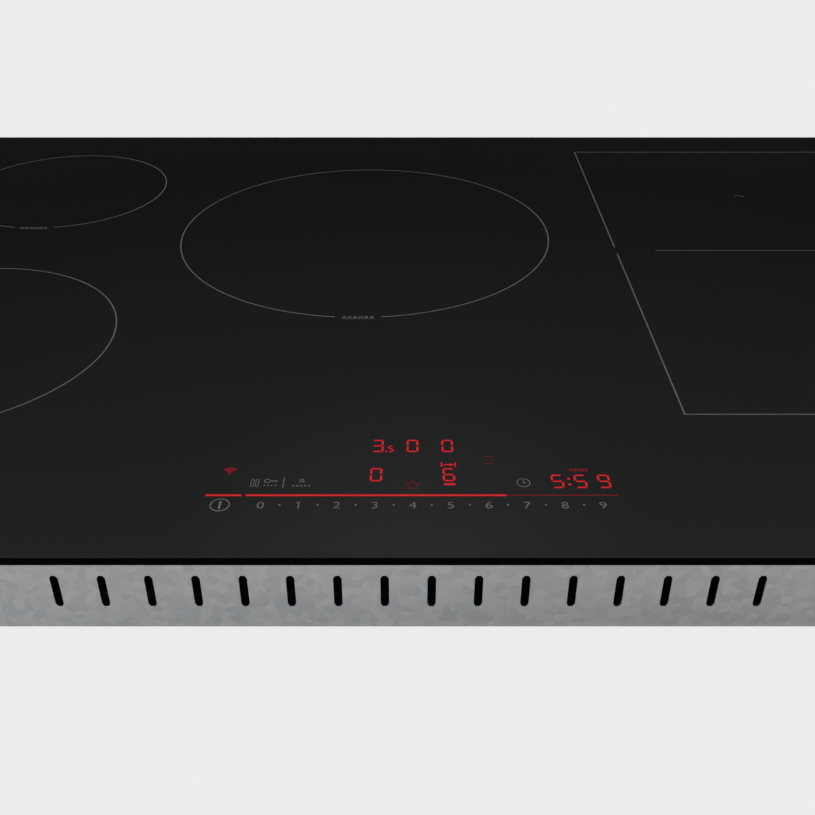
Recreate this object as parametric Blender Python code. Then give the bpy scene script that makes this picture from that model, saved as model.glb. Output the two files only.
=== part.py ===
"""Built-in induction hob of the 80 cm class, as separate pieces in their working places.

Units are metres, +Z is up and the cook stands at -Y. The origin is the middle of the casing's underside.
The casing hangs in a worktop cut-out, the glass plate lies over the cut-out's edge on foam strips,
and the coils, electronics and fans sit in the casing under the glass.
"""

import math

import bmesh
import bpy
from mathutils import Matrix, Vector

# Overall
GLASS_W = 0.802
GLASS_D = 0.522
GLASS_T = 0.004
GLASS_CORNER = 0.005
GLASS_CORNER_STEPS = 5
GLASS_BEVEL = 0.0007
GLASS_BEVEL_STEPS = 2
CLEAR = 0.0003  # gap between pieces that touch on the real hob
DEPTH_BELOW_WORKTOP = 0.051

# Foam strips under the rim of the glass
SEAL_T = 0.0007
SEAL_W = 0.008
SEAL_INSET = 0.002

# Sheet-steel casing
SIDE_OVERHANG = 0.0285  # glass beyond the casing at the left and right
END_OVERHANG = 0.0185  # glass beyond the casing at the front and rear
SHEET = 0.001
TRAY_CORNER = 0.003
TRAY_CORNER_STEPS = 3
TRAY_RIM_DROP = 0.001  # casing rim below the worktop

# Angle rails bonded under the glass, which the casing is screwed to
RAIL_T = 0.0012
RAIL_LEG = 0.013
RAIL_FLANGE = 0.008

# Vent slots
SLOT_W = 0.0036
SLOT_PITCH = 0.008
GRILLE_MARGIN = 0.005  # field of slots beyond the blower's intake
EXHAUST_SLOTS = 16
EXHAUST_PITCH = 0.020
EXHAUST_LENGTH = 0.018
EXHAUST_LOW = 0.012

# Cooking zones: diameters and their margins to the edges of the glass
ZONE_SIDE_MARGIN = 0.061
FRONT_LEFT_D = 0.180
FRONT_LEFT_MARGIN = 0.086
REAR_LEFT_D = 0.145
REAR_LEFT_MARGIN = 0.0477
CENTRE_D = 0.240
CENTRE_MARGIN = 0.0803
CENTRE_GAP = 0.0118  # between the front left and centre zones, along X
FLEX_W = 0.2095
FLEX_L = 0.380
FLEX_MARGIN = 0.0392
FLEX_SIDE_MARGIN = 0.0593

# Coils on their plate, which springs press up towards the glass
PLATE_T = 0.0015
PLATE_GAP = 0.006  # plate edge to the casing
COIL_INSET = 0.006  # winding edge inside the printed zone
COIL_EYE_R = 0.026
FLEX_COIL_CORNER = 0.060
COIL_CORNER_STEPS = 7
FORMER_FLOOR = 0.0015
FORMER_H = 0.0092
FORMER_EDGE = 0.002
RIB_COUNT = 8
RIB_W = 0.008
RIB_START = 0.012
HUB_R = 0.010
WINDING_T = 0.004
MICA_T = 0.0008
MICA_AIR = 0.0026  # mica to the glass
SENSOR_R = 0.006
SENSOR_LIFT = 0.0025  # foot of the sensor above the coil plate

# Electronics on a plastic carrier
CARRIER_SIDE_GAP = 0.0545  # carrier edge to the casing's side
CARRIER_FRONT_GAP = 0.0175  # carrier edge to the casing's front wall
CARRIER_REAR_GAP = 0.0275
CARRIER_T = 0.0015
POST_W = 0.006
POST_INSET = 0.006
BOARD_T = 0.0016
BOARD_RISE = 0.005
POWER_BOARD_D = 0.220
POWER_BOARD_Y = -0.050
POWER_BOARD_GAP = 0.030  # between the two power boards
POWER_BOARD_FAN_GAP = 0.007  # board to the blower beside it
FILTER_BOARD_W = 0.180
FILTER_BOARD_D = 0.075
FILTER_BOARD_REAR_GAP = 0.0375
SINK_L = 0.100
SINK_W = 0.080
SINK_BASE = 0.003
SINK_AIR = 0.0053  # fins to the coil plate
FIN_T = 0.0012
FIN_COUNT = 13

# Blowers
FAN_SIDE_GAP = 0.1105  # fan axis to the casing's side
FAN_Y = -0.030
FAN_W = 0.100
FAN_AIR = 0.0039  # blower to the coil plate
FAN_WALL = 0.0015
FAN_SIDE_WALL = 0.004
FAN_INTAKE_LIP = 0.011
FAN_OUTLET_EDGE = 0.002
FAN_OUTLET_W = 0.062
AXLE_R = 0.0025
AXLE_RECESS = 0.0013  # axle's end inside the rotor's hub
ROTOR_GAP = 0.004  # blade tips to the chamber's wall
ROTOR_HUB_R = 0.015
ROTOR_HUB_LIFT = 0.005
ROTOR_DISC_T = 0.0012
BLADE_COUNT = 11
BLADE_T = 0.0012
BLADE_L = 0.013
BLADE_LIFT = 0.003
BLADE_SWEEP = math.radians(32)
BLADE_CURL = 1.5

# Controls under the front of the glass
CONTROL_W = 0.200
CONTROL_D = 0.0600
CONTROL_WALL = 0.0015
DISPLAY_LEFT = -0.022
DISPLAY_RIGHT = 0.092
DISPLAY_D = 0.040
DISPLAY_T = 0.0055
DISPLAY_GAP = 0.0065  # display block to the rear wall of the control housing

# Mains terminal compartment at the rear, and its flap on the underside
TERMINAL_X = 0.215
TERMINAL_W = 0.092
TERMINAL_D = 0.066
TERMINAL_H = 0.0227
TERMINAL_WALL = 0.0018
TERMINAL_REAR_GAP = 0.003
HATCH_EDGE = 0.004  # ledge of casing sheet around the hatch
FLAP_T = 0.0018
FLAP_LIFT = 0.0001
BARREL_R = 0.0019
FLAP_PIN_R = 0.001
EAR_T = 0.002
BLOCK_W = 0.060
BLOCK_D = 0.014
BLOCK_H = 0.012
BLOCK_GAP = 0.007  # block to the compartment's front wall
BLOCK_POLES = 5
WIRE_HOLE_R = 0.002
WIRE_HOLE_L = 0.0093
INLET_Z = 0.0145
INLET_R = 0.0065
GROMMET_NECK_R = 0.0095
GROMMET_FLANGE_R = 0.0115
GROMMET_FLANGE_T = 0.0014

# Springs under the coil plate
SPRING_R = 0.006
SPRING_WIRE_R = 0.0007
SPRING_TURNS = 5
SPRING_STEPS = 8  # in each turn
SPRING_SIDES = 5
SPRING_SIDE_GAP = 0.0275
SPRING_END_GAP = 0.0525

# Spring clips on the casing's sides
CLIP_END_GAP = 0.0925
CLIP_Z = 0.010
CLIP_W = 0.020
CLIP_T = 0.0008
CLIP_EYE_R = 0.002
CLIP_PIN_R = 0.001
CLIP_EAR_T = 0.0012
CLIP_EAR_H = 0.007
CLIP_RISE = 0.023
CLIP_LEAN = 0.012
CLIP_LIP_H = 0.0024
CLIP_LIP_OUT = 0.0011

# Casing screws
SCREW_SIDE_GAP = 0.0725  # screw to the casing's side
SCREW_DROP = 0.007  # screw axis below the worktop
SCREW_R = 0.0016
SCREW_HEAD_R = 0.0032
SCREW_HEAD_H = 0.002
SCREW_CROWN_R = 0.00224
SCREW_CROSS_L = 0.00384
SCREW_CROSS_W = 0.00077
SCREW_L = 0.006

ROUND = 32
SMALL_ROUND = 12

# Places worked out from the sizes above
CASE_W = GLASS_W - 2 * SIDE_OVERHANG
CASE_D = GLASS_D - 2 * END_OVERHANG
SEAL_TOP = DEPTH_BELOW_WORKTOP + SEAL_T
GLASS_LOW = SEAL_TOP + CLEAR
GLASS_TOP = GLASS_LOW + GLASS_T
WALL_INNER_X = CASE_W / 2 - SHEET
WALL_INNER_Y = CASE_D / 2 - SHEET
SCREW_X = CASE_W / 2 - SCREW_SIDE_GAP
SCREW_Z = DEPTH_BELOW_WORKTOP - SCREW_DROP
MICA_LOW = GLASS_LOW - MICA_AIR - MICA_T
WINDING_LOW = MICA_LOW - CLEAR - WINDING_T
FORMER_TOP = WINDING_LOW - CLEAR
FORMER_LOW = FORMER_TOP - FORMER_H
PLATE_TOP = FORMER_LOW - CLEAR
PLATE_LOW = PLATE_TOP - PLATE_T
CARRIER_W = CASE_W - 2 * CARRIER_SIDE_GAP
CARRIER_LOW = SHEET + CLEAR
CARRIER_TOP = CARRIER_LOW + CARRIER_T
BOARD_LOW = CARRIER_TOP + BOARD_RISE
BOARD_TOP = BOARD_LOW + BOARD_T
SINK_LOW = BOARD_TOP + CLEAR
SINK_TOP = PLATE_LOW - SINK_AIR
FAN_X = CASE_W / 2 - FAN_SIDE_GAP
FAN_LOW = CARRIER_TOP + CLEAR
FAN_H = PLATE_LOW - FAN_AIR - FAN_LOW
FAN_CAVITY_R = FAN_W / 2 - FAN_SIDE_WALL
FAN_INTAKE_R = FAN_CAVITY_R - FAN_INTAKE_LIP
FAN_OUTLET_LOW = FAN_OUTLET_EDGE - FAN_CAVITY_R
FAN_OUTLET_HIGH = FAN_OUTLET_LOW + FAN_OUTLET_W
GRILLE_R = FAN_INTAKE_R + GRILLE_MARGIN
ROTOR_R = FAN_CAVITY_R - ROTOR_GAP
BLADE_INNER_R = ROTOR_R - BLADE_L
POWER_BOARD_OUTER = FAN_X - FAN_W / 2 - POWER_BOARD_FAN_GAP
POWER_BOARD_W = POWER_BOARD_OUTER - POWER_BOARD_GAP / 2

SIDES = {"left": -1, "right": 1}
ENDS = {"front": -1, "rear": 1}

# Base colour, roughness and metallic value of each kind of surface
FINISHES = {
    "black_glass": ((0.008, 0.008, 0.009), 0.06, 0.0),
    "foam": ((0.03, 0.03, 0.032), 0.9, 0.0),
    "aluminium": ((0.62, 0.63, 0.65), 0.38, 1.0),
    "zinc_sheet": ((0.52, 0.54, 0.56), 0.35, 1.0),
    "spring_steel": ((0.55, 0.56, 0.58), 0.25, 1.0),
    "screw_steel": ((0.65, 0.66, 0.68), 0.25, 1.0),
    "coil_plastic": ((0.06, 0.06, 0.065), 0.6, 0.0),
    "litz_copper": ((0.72, 0.32, 0.14), 0.4, 1.0),
    "mica": ((0.62, 0.57, 0.47), 0.5, 0.0),
    "ceramic": ((0.85, 0.84, 0.8), 0.4, 0.0),
    "circuit_board": ((0.02, 0.16, 0.07), 0.45, 0.0),
    "black_plastic": ((0.02, 0.02, 0.022), 0.5, 0.0),
    "grey_plastic": ((0.3, 0.31, 0.32), 0.5, 0.0),
    "light_guide": ((0.8, 0.8, 0.78), 0.35, 0.0),
    "rubber": ((0.025, 0.025, 0.025), 0.8, 0.0),
}


def clear_scene():
    for obj in list(bpy.data.objects):
        bpy.data.objects.remove(obj, do_unlink=True)


def principled(name, finish):
    """A new material for one piece, from its kind of surface."""
    colour, roughness, metallic = FINISHES[finish]
    material = bpy.data.materials.new(name)
    material.use_nodes = True
    shader = material.node_tree.nodes["Principled BSDF"]
    shader.inputs["Base Color"].default_value = (*colour, 1)
    shader.inputs["Roughness"].default_value = roughness
    shader.inputs["Metallic"].default_value = metallic
    return material


def mesh_object(name, shape):
    bmesh.ops.recalc_face_normals(shape, faces=shape.faces)
    mesh = bpy.data.meshes.new(name)
    shape.to_mesh(mesh)
    shape.free()
    obj = bpy.data.objects.new(name, mesh)
    bpy.context.scene.collection.objects.link(obj)
    return obj


def add_piece(name, shape, finish, at=(0, 0, 0), smooth=False):
    """One named piece. `at` is where its origin lies, and the shape is drawn from there."""
    obj = mesh_object(name, shape)
    obj.location = at
    obj.data.materials.append(principled(name, finish))
    if smooth:
        obj.data.shade_smooth()
        obj.data.set_sharp_from_angle(angle=math.radians(35))
    return obj


def combine(piece, shape, operation):
    """Adds a Boolean of the shape to the piece. The shape is drawn from the piece's own origin."""
    count = len(piece.modifiers) + 1
    helper = mesh_object(f"{piece.name}_{operation.lower()}_{count}", shape)
    helper.parent = piece
    helper.hide_render = True
    helper.display_type = "WIRE"
    modifier = piece.modifiers.new(f"{operation.lower()}_{count}", "BOOLEAN")
    modifier.operation = operation
    modifier.solver = "EXACT"
    modifier.object = helper


def cut(piece, shape):
    combine(piece, shape, "DIFFERENCE")


def join(piece, shape):
    combine(piece, shape, "UNION")


def block(low, high):
    """A box between two corners."""
    low = Vector(low)
    high = Vector(high)
    shape = bmesh.new()
    place = Matrix.Translation((low + high) / 2) @ Matrix.Diagonal((*(high - low), 1))
    bmesh.ops.create_cube(shape, size=1, matrix=place)
    return shape


def gathered(shapes):
    """Several separate shapes in one mesh."""
    whole = bmesh.new()
    for shape in shapes:
        part = bpy.data.meshes.new("part")
        shape.to_mesh(part)
        shape.free()
        whole.from_mesh(part)
        bpy.data.meshes.remove(part)
    return whole


def turned_to(shape, rotation, offset=(0, 0, 0)):
    """The shape after a rotation and a shift."""
    bmesh.ops.transform(shape, matrix=Matrix.Translation(offset) @ rotation, verts=shape.verts)
    return shape


def arc(centre, radius, start, end, steps):
    """Points along an arc, both ends included, angles in degrees."""
    points = []
    for i in range(steps + 1):
        angle = math.radians(start + (end - start) * i / steps)
        points.append((centre[0] + radius * math.cos(angle), centre[1] + radius * math.sin(angle)))
    return points


def circle(centre, radius, steps):
    return arc(centre, radius, 0, 360 - 360 / steps, steps - 1)


def rounded_rectangle(centre, width, depth, radius, steps):
    """Outline anticlockwise from the right side, with `steps` chords in each corner."""
    corners = []
    for quarter, (sx, sy) in enumerate(((1, 1), (-1, 1), (-1, -1), (1, -1))):
        middle = (centre[0] + sx * (width / 2 - radius), centre[1] + sy * (depth / 2 - radius))
        corners += arc(middle, radius, 90 * quarter, 90 * quarter + 90, steps)
    return corners


def slot_outline(centre, length, width, steps=3):
    """A slot with round ends, long side along the first axis."""
    reach = length / 2 - width / 2
    right = arc((centre[0] + reach, centre[1]), width / 2, -90, 90, steps)
    left = arc((centre[0] - reach, centre[1]), width / 2, 90, 270, steps)
    return right + left


def on_axis(point, level, axis):
    """A 3-D point from an outline's point and its level along the axis."""
    if axis == "X":
        return (level, point[0], point[1])
    if axis == "Y":
        return (point[0], level, point[1])
    return (point[0], point[1], level)


def prism(outline, low, high, axis="Z"):
    """The outline extruded along an axis. Along X it is drawn in Y and Z, along Y in X and Z."""
    shape = bmesh.new()
    corners = [shape.verts.new(on_axis(point, low, axis)) for point in outline]
    face = shape.faces.new(corners)
    grown = bmesh.ops.extrude_face_region(shape, geom=[face])
    moved = [part for part in grown["geom"] if isinstance(part, bmesh.types.BMVert)]
    shift = Vector(on_axis((0, 0), high - low, axis))
    bmesh.ops.translate(shape, vec=shift, verts=moved)
    return shape


def ring(outer, inner, low, high):
    """A flat ring between two outlines with as many points each."""
    shape = bmesh.new()
    loops = []
    for outline, level in ((outer, low), (outer, high), (inner, high), (inner, low)):
        loops.append([shape.verts.new((x, y, level)) for x, y in outline])
    for loop, following in zip(loops, loops[1:] + loops[:1]):
        for i in range(len(loop)):
            j = (i + 1) % len(loop)
            shape.faces.new((loop[i], loop[j], following[j], following[i]))
    return shape


def turned(profile, steps):
    """A solid of revolution about Z from a closed profile of (radius, height) points."""
    shape = bmesh.new()
    points = [shape.verts.new((radius, 0, height)) for radius, height in profile]
    edges = []
    for near, far in zip(points, points[1:] + points[:1]):
        if near.co.x or far.co.x:
            edges.append(shape.edges.new((near, far)))
    bmesh.ops.spin(
        shape,
        geom=points + edges,
        cent=(0, 0, 0),
        axis=(0, 0, 1),
        angle=2 * math.pi,
        steps=steps,
        use_merge=True,
    )
    bmesh.ops.remove_doubles(shape, verts=shape.verts, dist=1e-6)
    return shape


def strip_outline(points, thickness):
    """The outline of bent sheet along a run of points, thickness shared to both sides."""
    run = [Vector(point) for point in points]
    left = []
    right = []
    for i, point in enumerate(run):
        before = (point - run[i - 1]).normalized() if i else None
        after = (run[i + 1] - point).normalized() if i + 1 < len(run) else None
        along = ((before or after) + (after or before)).normalized()
        across = Vector((-along.y, along.x))
        stretch = 1 / max(0.5, along.dot(after or before))
        left.append(tuple(point + across * thickness / 2 * stretch))
        right.append(tuple(point - across * thickness / 2 * stretch))
    return left + right[::-1]


def zones():
    """Name, centre and size of the cooking zones that have a coil. Width and depth are the coil's."""
    left_x = -GLASS_W / 2 + ZONE_SIDE_MARGIN + FRONT_LEFT_D / 2
    centre_x = left_x + FRONT_LEFT_D / 2 + CENTRE_GAP + CENTRE_D / 2
    flex_x = GLASS_W / 2 - FLEX_SIDE_MARGIN - FLEX_W / 2
    flex_y = GLASS_D / 2 - FLEX_MARGIN - FLEX_L / 2
    found = []
    for name, x, y, diameter in (
        ("front_left", left_x, -GLASS_D / 2 + FRONT_LEFT_MARGIN + FRONT_LEFT_D / 2, FRONT_LEFT_D),
        ("rear_left", left_x, GLASS_D / 2 - REAR_LEFT_MARGIN - REAR_LEFT_D / 2, REAR_LEFT_D),
        ("centre", centre_x, GLASS_D / 2 - CENTRE_MARGIN - CENTRE_D / 2, CENTRE_D),
    ):
        coil = diameter - 2 * COIL_INSET
        found.append((name, (x, y), coil, coil, coil / 2))
    for name, end in ENDS.items():
        middle = (flex_x, flex_y + end * FLEX_L / 4)
        width = FLEX_W - 2 * COIL_INSET
        depth = FLEX_L / 2 - 2 * COIL_INSET
        found.append((f"flex_{name}", middle, width, depth, FLEX_COIL_CORNER))
    return found


def glass_plate():
    outline = rounded_rectangle((0, 0), GLASS_W, GLASS_D, GLASS_CORNER, GLASS_CORNER_STEPS)
    glass = add_piece("glass_top", prism(outline, GLASS_LOW, GLASS_TOP), "black_glass", smooth=True)
    bevel = glass.modifiers.new("ground_edges", "BEVEL")
    bevel.width = GLASS_BEVEL
    bevel.segments = GLASS_BEVEL_STEPS
    bevel.limit_method = "ANGLE"
    bevel.angle_limit = math.radians(40)


def foam_seal():
    outer_x = GLASS_W / 2 - SEAL_INSET
    outer_y = GLASS_D / 2 - SEAL_INSET
    low = DEPTH_BELOW_WORKTOP
    for end, sign in ENDS.items():
        near, far = sorted((sign * outer_y, sign * (outer_y - SEAL_W)))
        add_piece(f"seal_{end}", block((-outer_x, near, low), (outer_x, far, SEAL_TOP)), "foam")
    reach = outer_y - SEAL_W - CLEAR
    for side, sign in SIDES.items():
        near, far = sorted((sign * outer_x, sign * (outer_x - SEAL_W)))
        add_piece(f"seal_{side}", block((near, -reach, low), (far, reach, SEAL_TOP)), "foam")


def rail_outline(face, sign):
    """Angle section with its leg's outer side at `face` and its flange pointing inwards."""
    top = SEAL_TOP
    inner = face - RAIL_T
    tip = face - RAIL_FLANGE
    points = (
        (face, top - RAIL_LEG),
        (face, top),
        (tip, top),
        (tip, top - RAIL_T),
        (inner, top - RAIL_T),
        (inner, top - RAIL_LEG),
    )
    return [(sign * across, height) for across, height in points]


def screw_holes(sign):
    """Clearance holes for the casing screws in the front or rear wall and rail."""
    low, high = sorted((sign * (WALL_INNER_Y - RAIL_FLANGE / 2), sign * (CASE_D / 2 + SHEET)))
    holes = []
    for side in SIDES.values():
        outline = circle((side * SCREW_X, SCREW_Z), SCREW_R + CLEAR, SMALL_ROUND)
        holes.append(prism(outline, low, high, "Y"))
    return gathered(holes)


def frame_rails():
    face_x = WALL_INNER_X - CLEAR
    face_y = WALL_INNER_Y - CLEAR
    reach = face_x - TRAY_CORNER
    for end, sign in ENDS.items():
        shape = prism(rail_outline(face_y, sign), -reach, reach, "X")
        rail = add_piece(f"frame_rail_{end}", shape, "aluminium")
        cut(rail, screw_holes(sign))
    reach = face_y - RAIL_FLANGE - CLEAR
    for side, sign in SIDES.items():
        shape = prism(rail_outline(face_x, sign), -reach, reach, "Y")
        add_piece(f"frame_rail_{side}", shape, "aluminium")


def intake_slots(centre_x):
    """Parallel slots that fill a circle under one blower."""
    slots = []
    rows = int(GRILLE_R / SLOT_PITCH)
    for row in range(-rows, rows):
        offset = (row + 0.5) * SLOT_PITCH
        length = 2 * math.sqrt(GRILLE_R**2 - offset**2)
        outline = slot_outline((centre_x, FAN_Y + offset), length, SLOT_W)
        slots.append(prism(outline, -SHEET, 2 * SHEET))
    return slots


def exhaust_slots():
    """A row of upright slots in the front wall."""
    slots = []
    for i in range(EXHAUST_SLOTS):
        x = (i - (EXHAUST_SLOTS - 1) / 2) * EXHAUST_PITCH
        lying = slot_outline((EXHAUST_LOW + EXHAUST_LENGTH / 2, -x), EXHAUST_LENGTH, SLOT_W)
        upright = [(-across, along) for along, across in lying]
        slots.append(prism(upright, -CASE_D / 2 - SHEET, -CASE_D / 2 + 2 * SHEET, "Y"))
    return slots


def clip_axis(side, end):
    """Where a side clip turns: beside the casing's wall, near its foot."""
    return (
        SIDES[side] * (CASE_W / 2 + CLEAR + CLIP_EYE_R),
        ENDS[end] * (CASE_D / 2 - CLIP_END_GAP),
        CLIP_Z,
    )


def clip_ears():
    """The pairs of ears that hold the side clips' pins, reaching into the wall sheet."""
    ears = []
    for side, sign in SIDES.items():
        for end in ENDS:
            x, y, z = clip_axis(side, end)
            root, tip = sorted((sign * (CASE_W / 2 - SHEET / 2), x + sign * CLIP_EYE_R))
            for ear in (-1, 1):
                face = CLIP_W / 2 + CLEAR
                near, far = sorted((y + ear * face, y + ear * (face + CLIP_EAR_T)))
                low = (root, near, z - CLIP_EAR_H / 2)
                high = (tip, far, z + CLIP_EAR_H / 2)
                ears.append(block(low, high))
    return gathered(ears)


def clip_pin_holes():
    holes = []
    reach = CLIP_W / 2 + CLIP_EAR_T + SHEET
    for side in SIDES:
        for end in ENDS:
            x, y, z = clip_axis(side, end)
            outline = circle((x, z), CLIP_PIN_R + CLEAR, SMALL_ROUND)
            holes.append(prism(outline, y - reach, y + reach, "Y"))
    return gathered(holes)


def terminal_box_rear():
    return WALL_INNER_Y - TERMINAL_REAR_GAP


def hatch():
    """Low and high X and Y of the hatch in the casing's floor under the terminal box."""
    rear = terminal_box_rear() - HATCH_EDGE - TERMINAL_WALL
    front = terminal_box_rear() - TERMINAL_D + HATCH_EDGE
    half = TERMINAL_W / 2 - HATCH_EDGE
    return TERMINAL_X - half, TERMINAL_X + half, front, rear


def bottom_tray():
    top = DEPTH_BELOW_WORKTOP - TRAY_RIM_DROP
    outline = rounded_rectangle((0, 0), CASE_W, CASE_D, TRAY_CORNER, TRAY_CORNER_STEPS)
    tray = add_piece("bottom_tray", prism(outline, 0, top), "zinc_sheet")
    inner = TRAY_CORNER - SHEET
    inside = rounded_rectangle((0, 0), 2 * WALL_INNER_X, 2 * WALL_INNER_Y, inner, TRAY_CORNER_STEPS)
    cut(tray, prism(inside, SHEET, top + SHEET))
    cut(tray, gathered(intake_slots(-FAN_X) + intake_slots(FAN_X)))
    cut(tray, gathered(exhaust_slots()))
    left, right, front, rear = hatch()
    cut(tray, block((left, front, -SHEET), (right, rear, 2 * SHEET)))
    inlet = circle((TERMINAL_X, INLET_Z), GROMMET_NECK_R + CLEAR, 2 * SMALL_ROUND)
    cut(tray, prism(inlet, WALL_INNER_Y - SHEET, CASE_D / 2 + SHEET, "Y"))
    cut(tray, gathered([screw_holes(-1), screw_holes(1)]))
    join(tray, clip_ears())
    cut(tray, clip_pin_holes())


def clip_outline():
    """A clip's eye and its leaf, which leans out and ends in a lip, seen along the pin."""
    lip_x = CLIP_LEAN + CLIP_LIP_OUT
    run = (
        (0, 0),
        (CLIP_LEAN, CLIP_RISE),
        (lip_x, CLIP_RISE + CLIP_LIP_H),
        (lip_x - CLIP_T, CLIP_RISE + 2 * CLIP_LIP_H),
    )
    leaf = strip_outline(run, CLIP_T)
    lean = math.degrees(math.atan2(CLIP_RISE, CLIP_LEAN))
    root = math.degrees(math.asin(CLIP_T / 2 / CLIP_EYE_R))
    eye = arc((0, 0), CLIP_EYE_R, lean + root, lean + 360 - root, SMALL_ROUND)
    return eye + leaf[-2:0:-1]


def side_clips():
    """Bent spring-steel leaves on pins. Each leans out of the casing and yields inwards."""
    pin_reach = CLIP_W / 2 + CLEAR + CLIP_EAR_T
    for end in ENDS:
        for side, sign in SIDES.items():
            leaf = prism(clip_outline(), -CLIP_W / 2, CLIP_W / 2, "Y")
            clip = add_piece(f"side_clip_{end}_{side}", leaf, "spring_steel", clip_axis(side, end))
            pin = circle((0, 0), CLIP_PIN_R, SMALL_ROUND)
            join(clip, prism(pin, -pin_reach, pin_reach, "Y"))
            if sign < 0:
                clip.rotation_euler.z = math.pi


def casing_screws():
    """Pan-head screws with a cross slot, through the casing's wall into the rail."""
    under_head = CASE_D / 2 + CLEAR
    profile = [(0, -SCREW_L), (SCREW_R, -SCREW_L), (SCREW_R, 0), (SCREW_HEAD_R, 0)]
    profile += [(SCREW_HEAD_R, SCREW_HEAD_H / 2), (SCREW_CROWN_R, SCREW_HEAD_H), (0, SCREW_HEAD_H)]
    long = SCREW_CROSS_L / 2
    narrow = SCREW_CROSS_W / 2
    outline = [(long, narrow), (narrow, narrow), (narrow, long), (-narrow, long)]
    outline += [(-narrow, narrow), (-long, narrow)]
    cross = outline + [(-x, -y) for x, y in outline]
    for end, sign in ENDS.items():
        outwards = Matrix.Rotation(-sign * math.pi / 2, 4, "X")
        for side, hand in SIDES.items():
            at = (hand * SCREW_X, sign * under_head, SCREW_Z)
            shape = turned_to(turned(profile, SMALL_ROUND), outwards)
            screw = add_piece(f"case_screw_{end}_{side}", shape, "screw_steel", at, smooth=True)
            cut(screw, turned_to(prism(cross, SCREW_HEAD_H / 2, 2 * SCREW_HEAD_H), outwards))


def coil_plate():
    """Aluminium plate that carries the coils and the control housing, with a wire hole at each coil."""
    half_w = WALL_INNER_X - PLATE_GAP
    half_d = WALL_INNER_Y - PLATE_GAP
    shape = block((-half_w, -half_d, PLATE_LOW), (half_w, half_d, PLATE_TOP))
    plate = add_piece("coil_plate", shape, "aluminium")
    holes = []
    for _, centre, _, _, _ in zones():
        outline = circle(centre, HUB_R, SMALL_ROUND)
        holes.append(prism(outline, PLATE_LOW - PLATE_T, PLATE_TOP + PLATE_T))
    cut(plate, gathered(holes))


def coil_outline(width, depth, corner, grow=0):
    """A coil's outline about its own centre, `grow` larger all round."""
    size = (width + 2 * grow, depth + 2 * grow)
    return rounded_rectangle((0, 0), *size, corner + grow, COIL_CORNER_STEPS)


def former_ribs(width, depth):
    """Spokes with room for the ferrite bars between them."""
    ribs = []
    for i in range(RIB_COUNT):
        angle = 2 * math.pi * (i + 0.5) / RIB_COUNT
        reach = min(width, depth) / 2 - FORMER_EDGE
        low = (RIB_START, -RIB_W / 2, FORMER_LOW + FORMER_FLOOR / 2)
        spoke = block(low, (reach, RIB_W / 2, FORMER_TOP))
        ribs.append(turned_to(spoke, Matrix.Rotation(angle, 4, "Z")))
    return gathered(ribs)


def coils():
    """Each zone's former, flat winding, mica sheet and glass temperature sensor, one above the other."""
    for name, centre, width, depth, corner in zones():
        at = (*centre, 0)
        floor_top = FORMER_LOW + FORMER_FLOOR
        edge = coil_outline(width, depth, corner, FORMER_EDGE)
        former = add_piece(f"coil_former_{name}", prism(edge, FORMER_LOW, floor_top), "coil_plastic", at)
        join(former, former_ribs(width, depth))
        hub = circle((0, 0), HUB_R, 2 * SMALL_ROUND)
        join(former, prism(hub, FORMER_LOW + FORMER_FLOOR / 2, FORMER_TOP))
        bore = circle((0, 0), SENSOR_R + CLEAR, 2 * SMALL_ROUND)
        cut(former, prism(bore, FORMER_LOW - FORMER_FLOOR, FORMER_TOP + FORMER_FLOOR))

        outer = coil_outline(width, depth, corner)
        eye = coil_outline(2 * COIL_EYE_R, 2 * COIL_EYE_R, COIL_EYE_R)
        shape = ring(outer, eye, WINDING_LOW, WINDING_LOW + WINDING_T)
        add_piece(f"coil_winding_{name}", shape, "litz_copper", at, smooth=True)

        hole = coil_outline(2 * HUB_R, 2 * HUB_R, HUB_R)
        shape = ring(edge, hole, MICA_LOW, MICA_LOW + MICA_T)
        add_piece(f"mica_sheet_{name}", shape, "mica", at)

        bead = circle((0, 0), SENSOR_R, SMALL_ROUND)
        shape = prism(bead, PLATE_TOP + SENSOR_LIFT, SEAL_TOP)
        add_piece(f"heat_sensor_{name}", shape, "ceramic", at, smooth=True)


def spring_wire():
    """A compression spring's round wire along a helix, closed at both ends."""
    steps = SPRING_STEPS * SPRING_TURNS
    low = SHEET + CLEAR + SPRING_WIRE_R
    high = PLATE_LOW - CLEAR - SPRING_WIRE_R
    shape = bmesh.new()
    loops = []
    for i in range(steps + 1):
        angle = 2 * math.pi * SPRING_TURNS * i / steps
        outwards = Vector((math.cos(angle), math.sin(angle), 0))
        middle = outwards * SPRING_R + Vector((0, 0, low + (high - low) * i / steps))
        section = []
        for side in range(SPRING_SIDES):
            turn = 2 * math.pi * side / SPRING_SIDES
            offset = outwards * math.cos(turn) + Vector((0, 0, math.sin(turn)))
            section.append(shape.verts.new(middle + offset * SPRING_WIRE_R))
        loops.append(section)
    for loop, following in zip(loops, loops[1:]):
        for side in range(SPRING_SIDES):
            other = (side + 1) % SPRING_SIDES
            shape.faces.new((loop[side], loop[other], following[other], following[side]))
    shape.faces.new(loops[0])
    shape.faces.new(loops[-1])
    return shape


def plate_springs():
    for end, back in ENDS.items():
        for side, right in SIDES.items():
            at = (right * (CASE_W / 2 - SPRING_SIDE_GAP), back * (CASE_D / 2 - SPRING_END_GAP), 0)
            add_piece(f"plate_spring_{end}_{side}", spring_wire(), "spring_steel", at, smooth=True)


def power_board_middle(sign):
    return (sign * (POWER_BOARD_OUTER - POWER_BOARD_W / 2), POWER_BOARD_Y)


def filter_board_middle():
    return (0, WALL_INNER_Y - FILTER_BOARD_REAR_GAP - FILTER_BOARD_D / 2)


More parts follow.
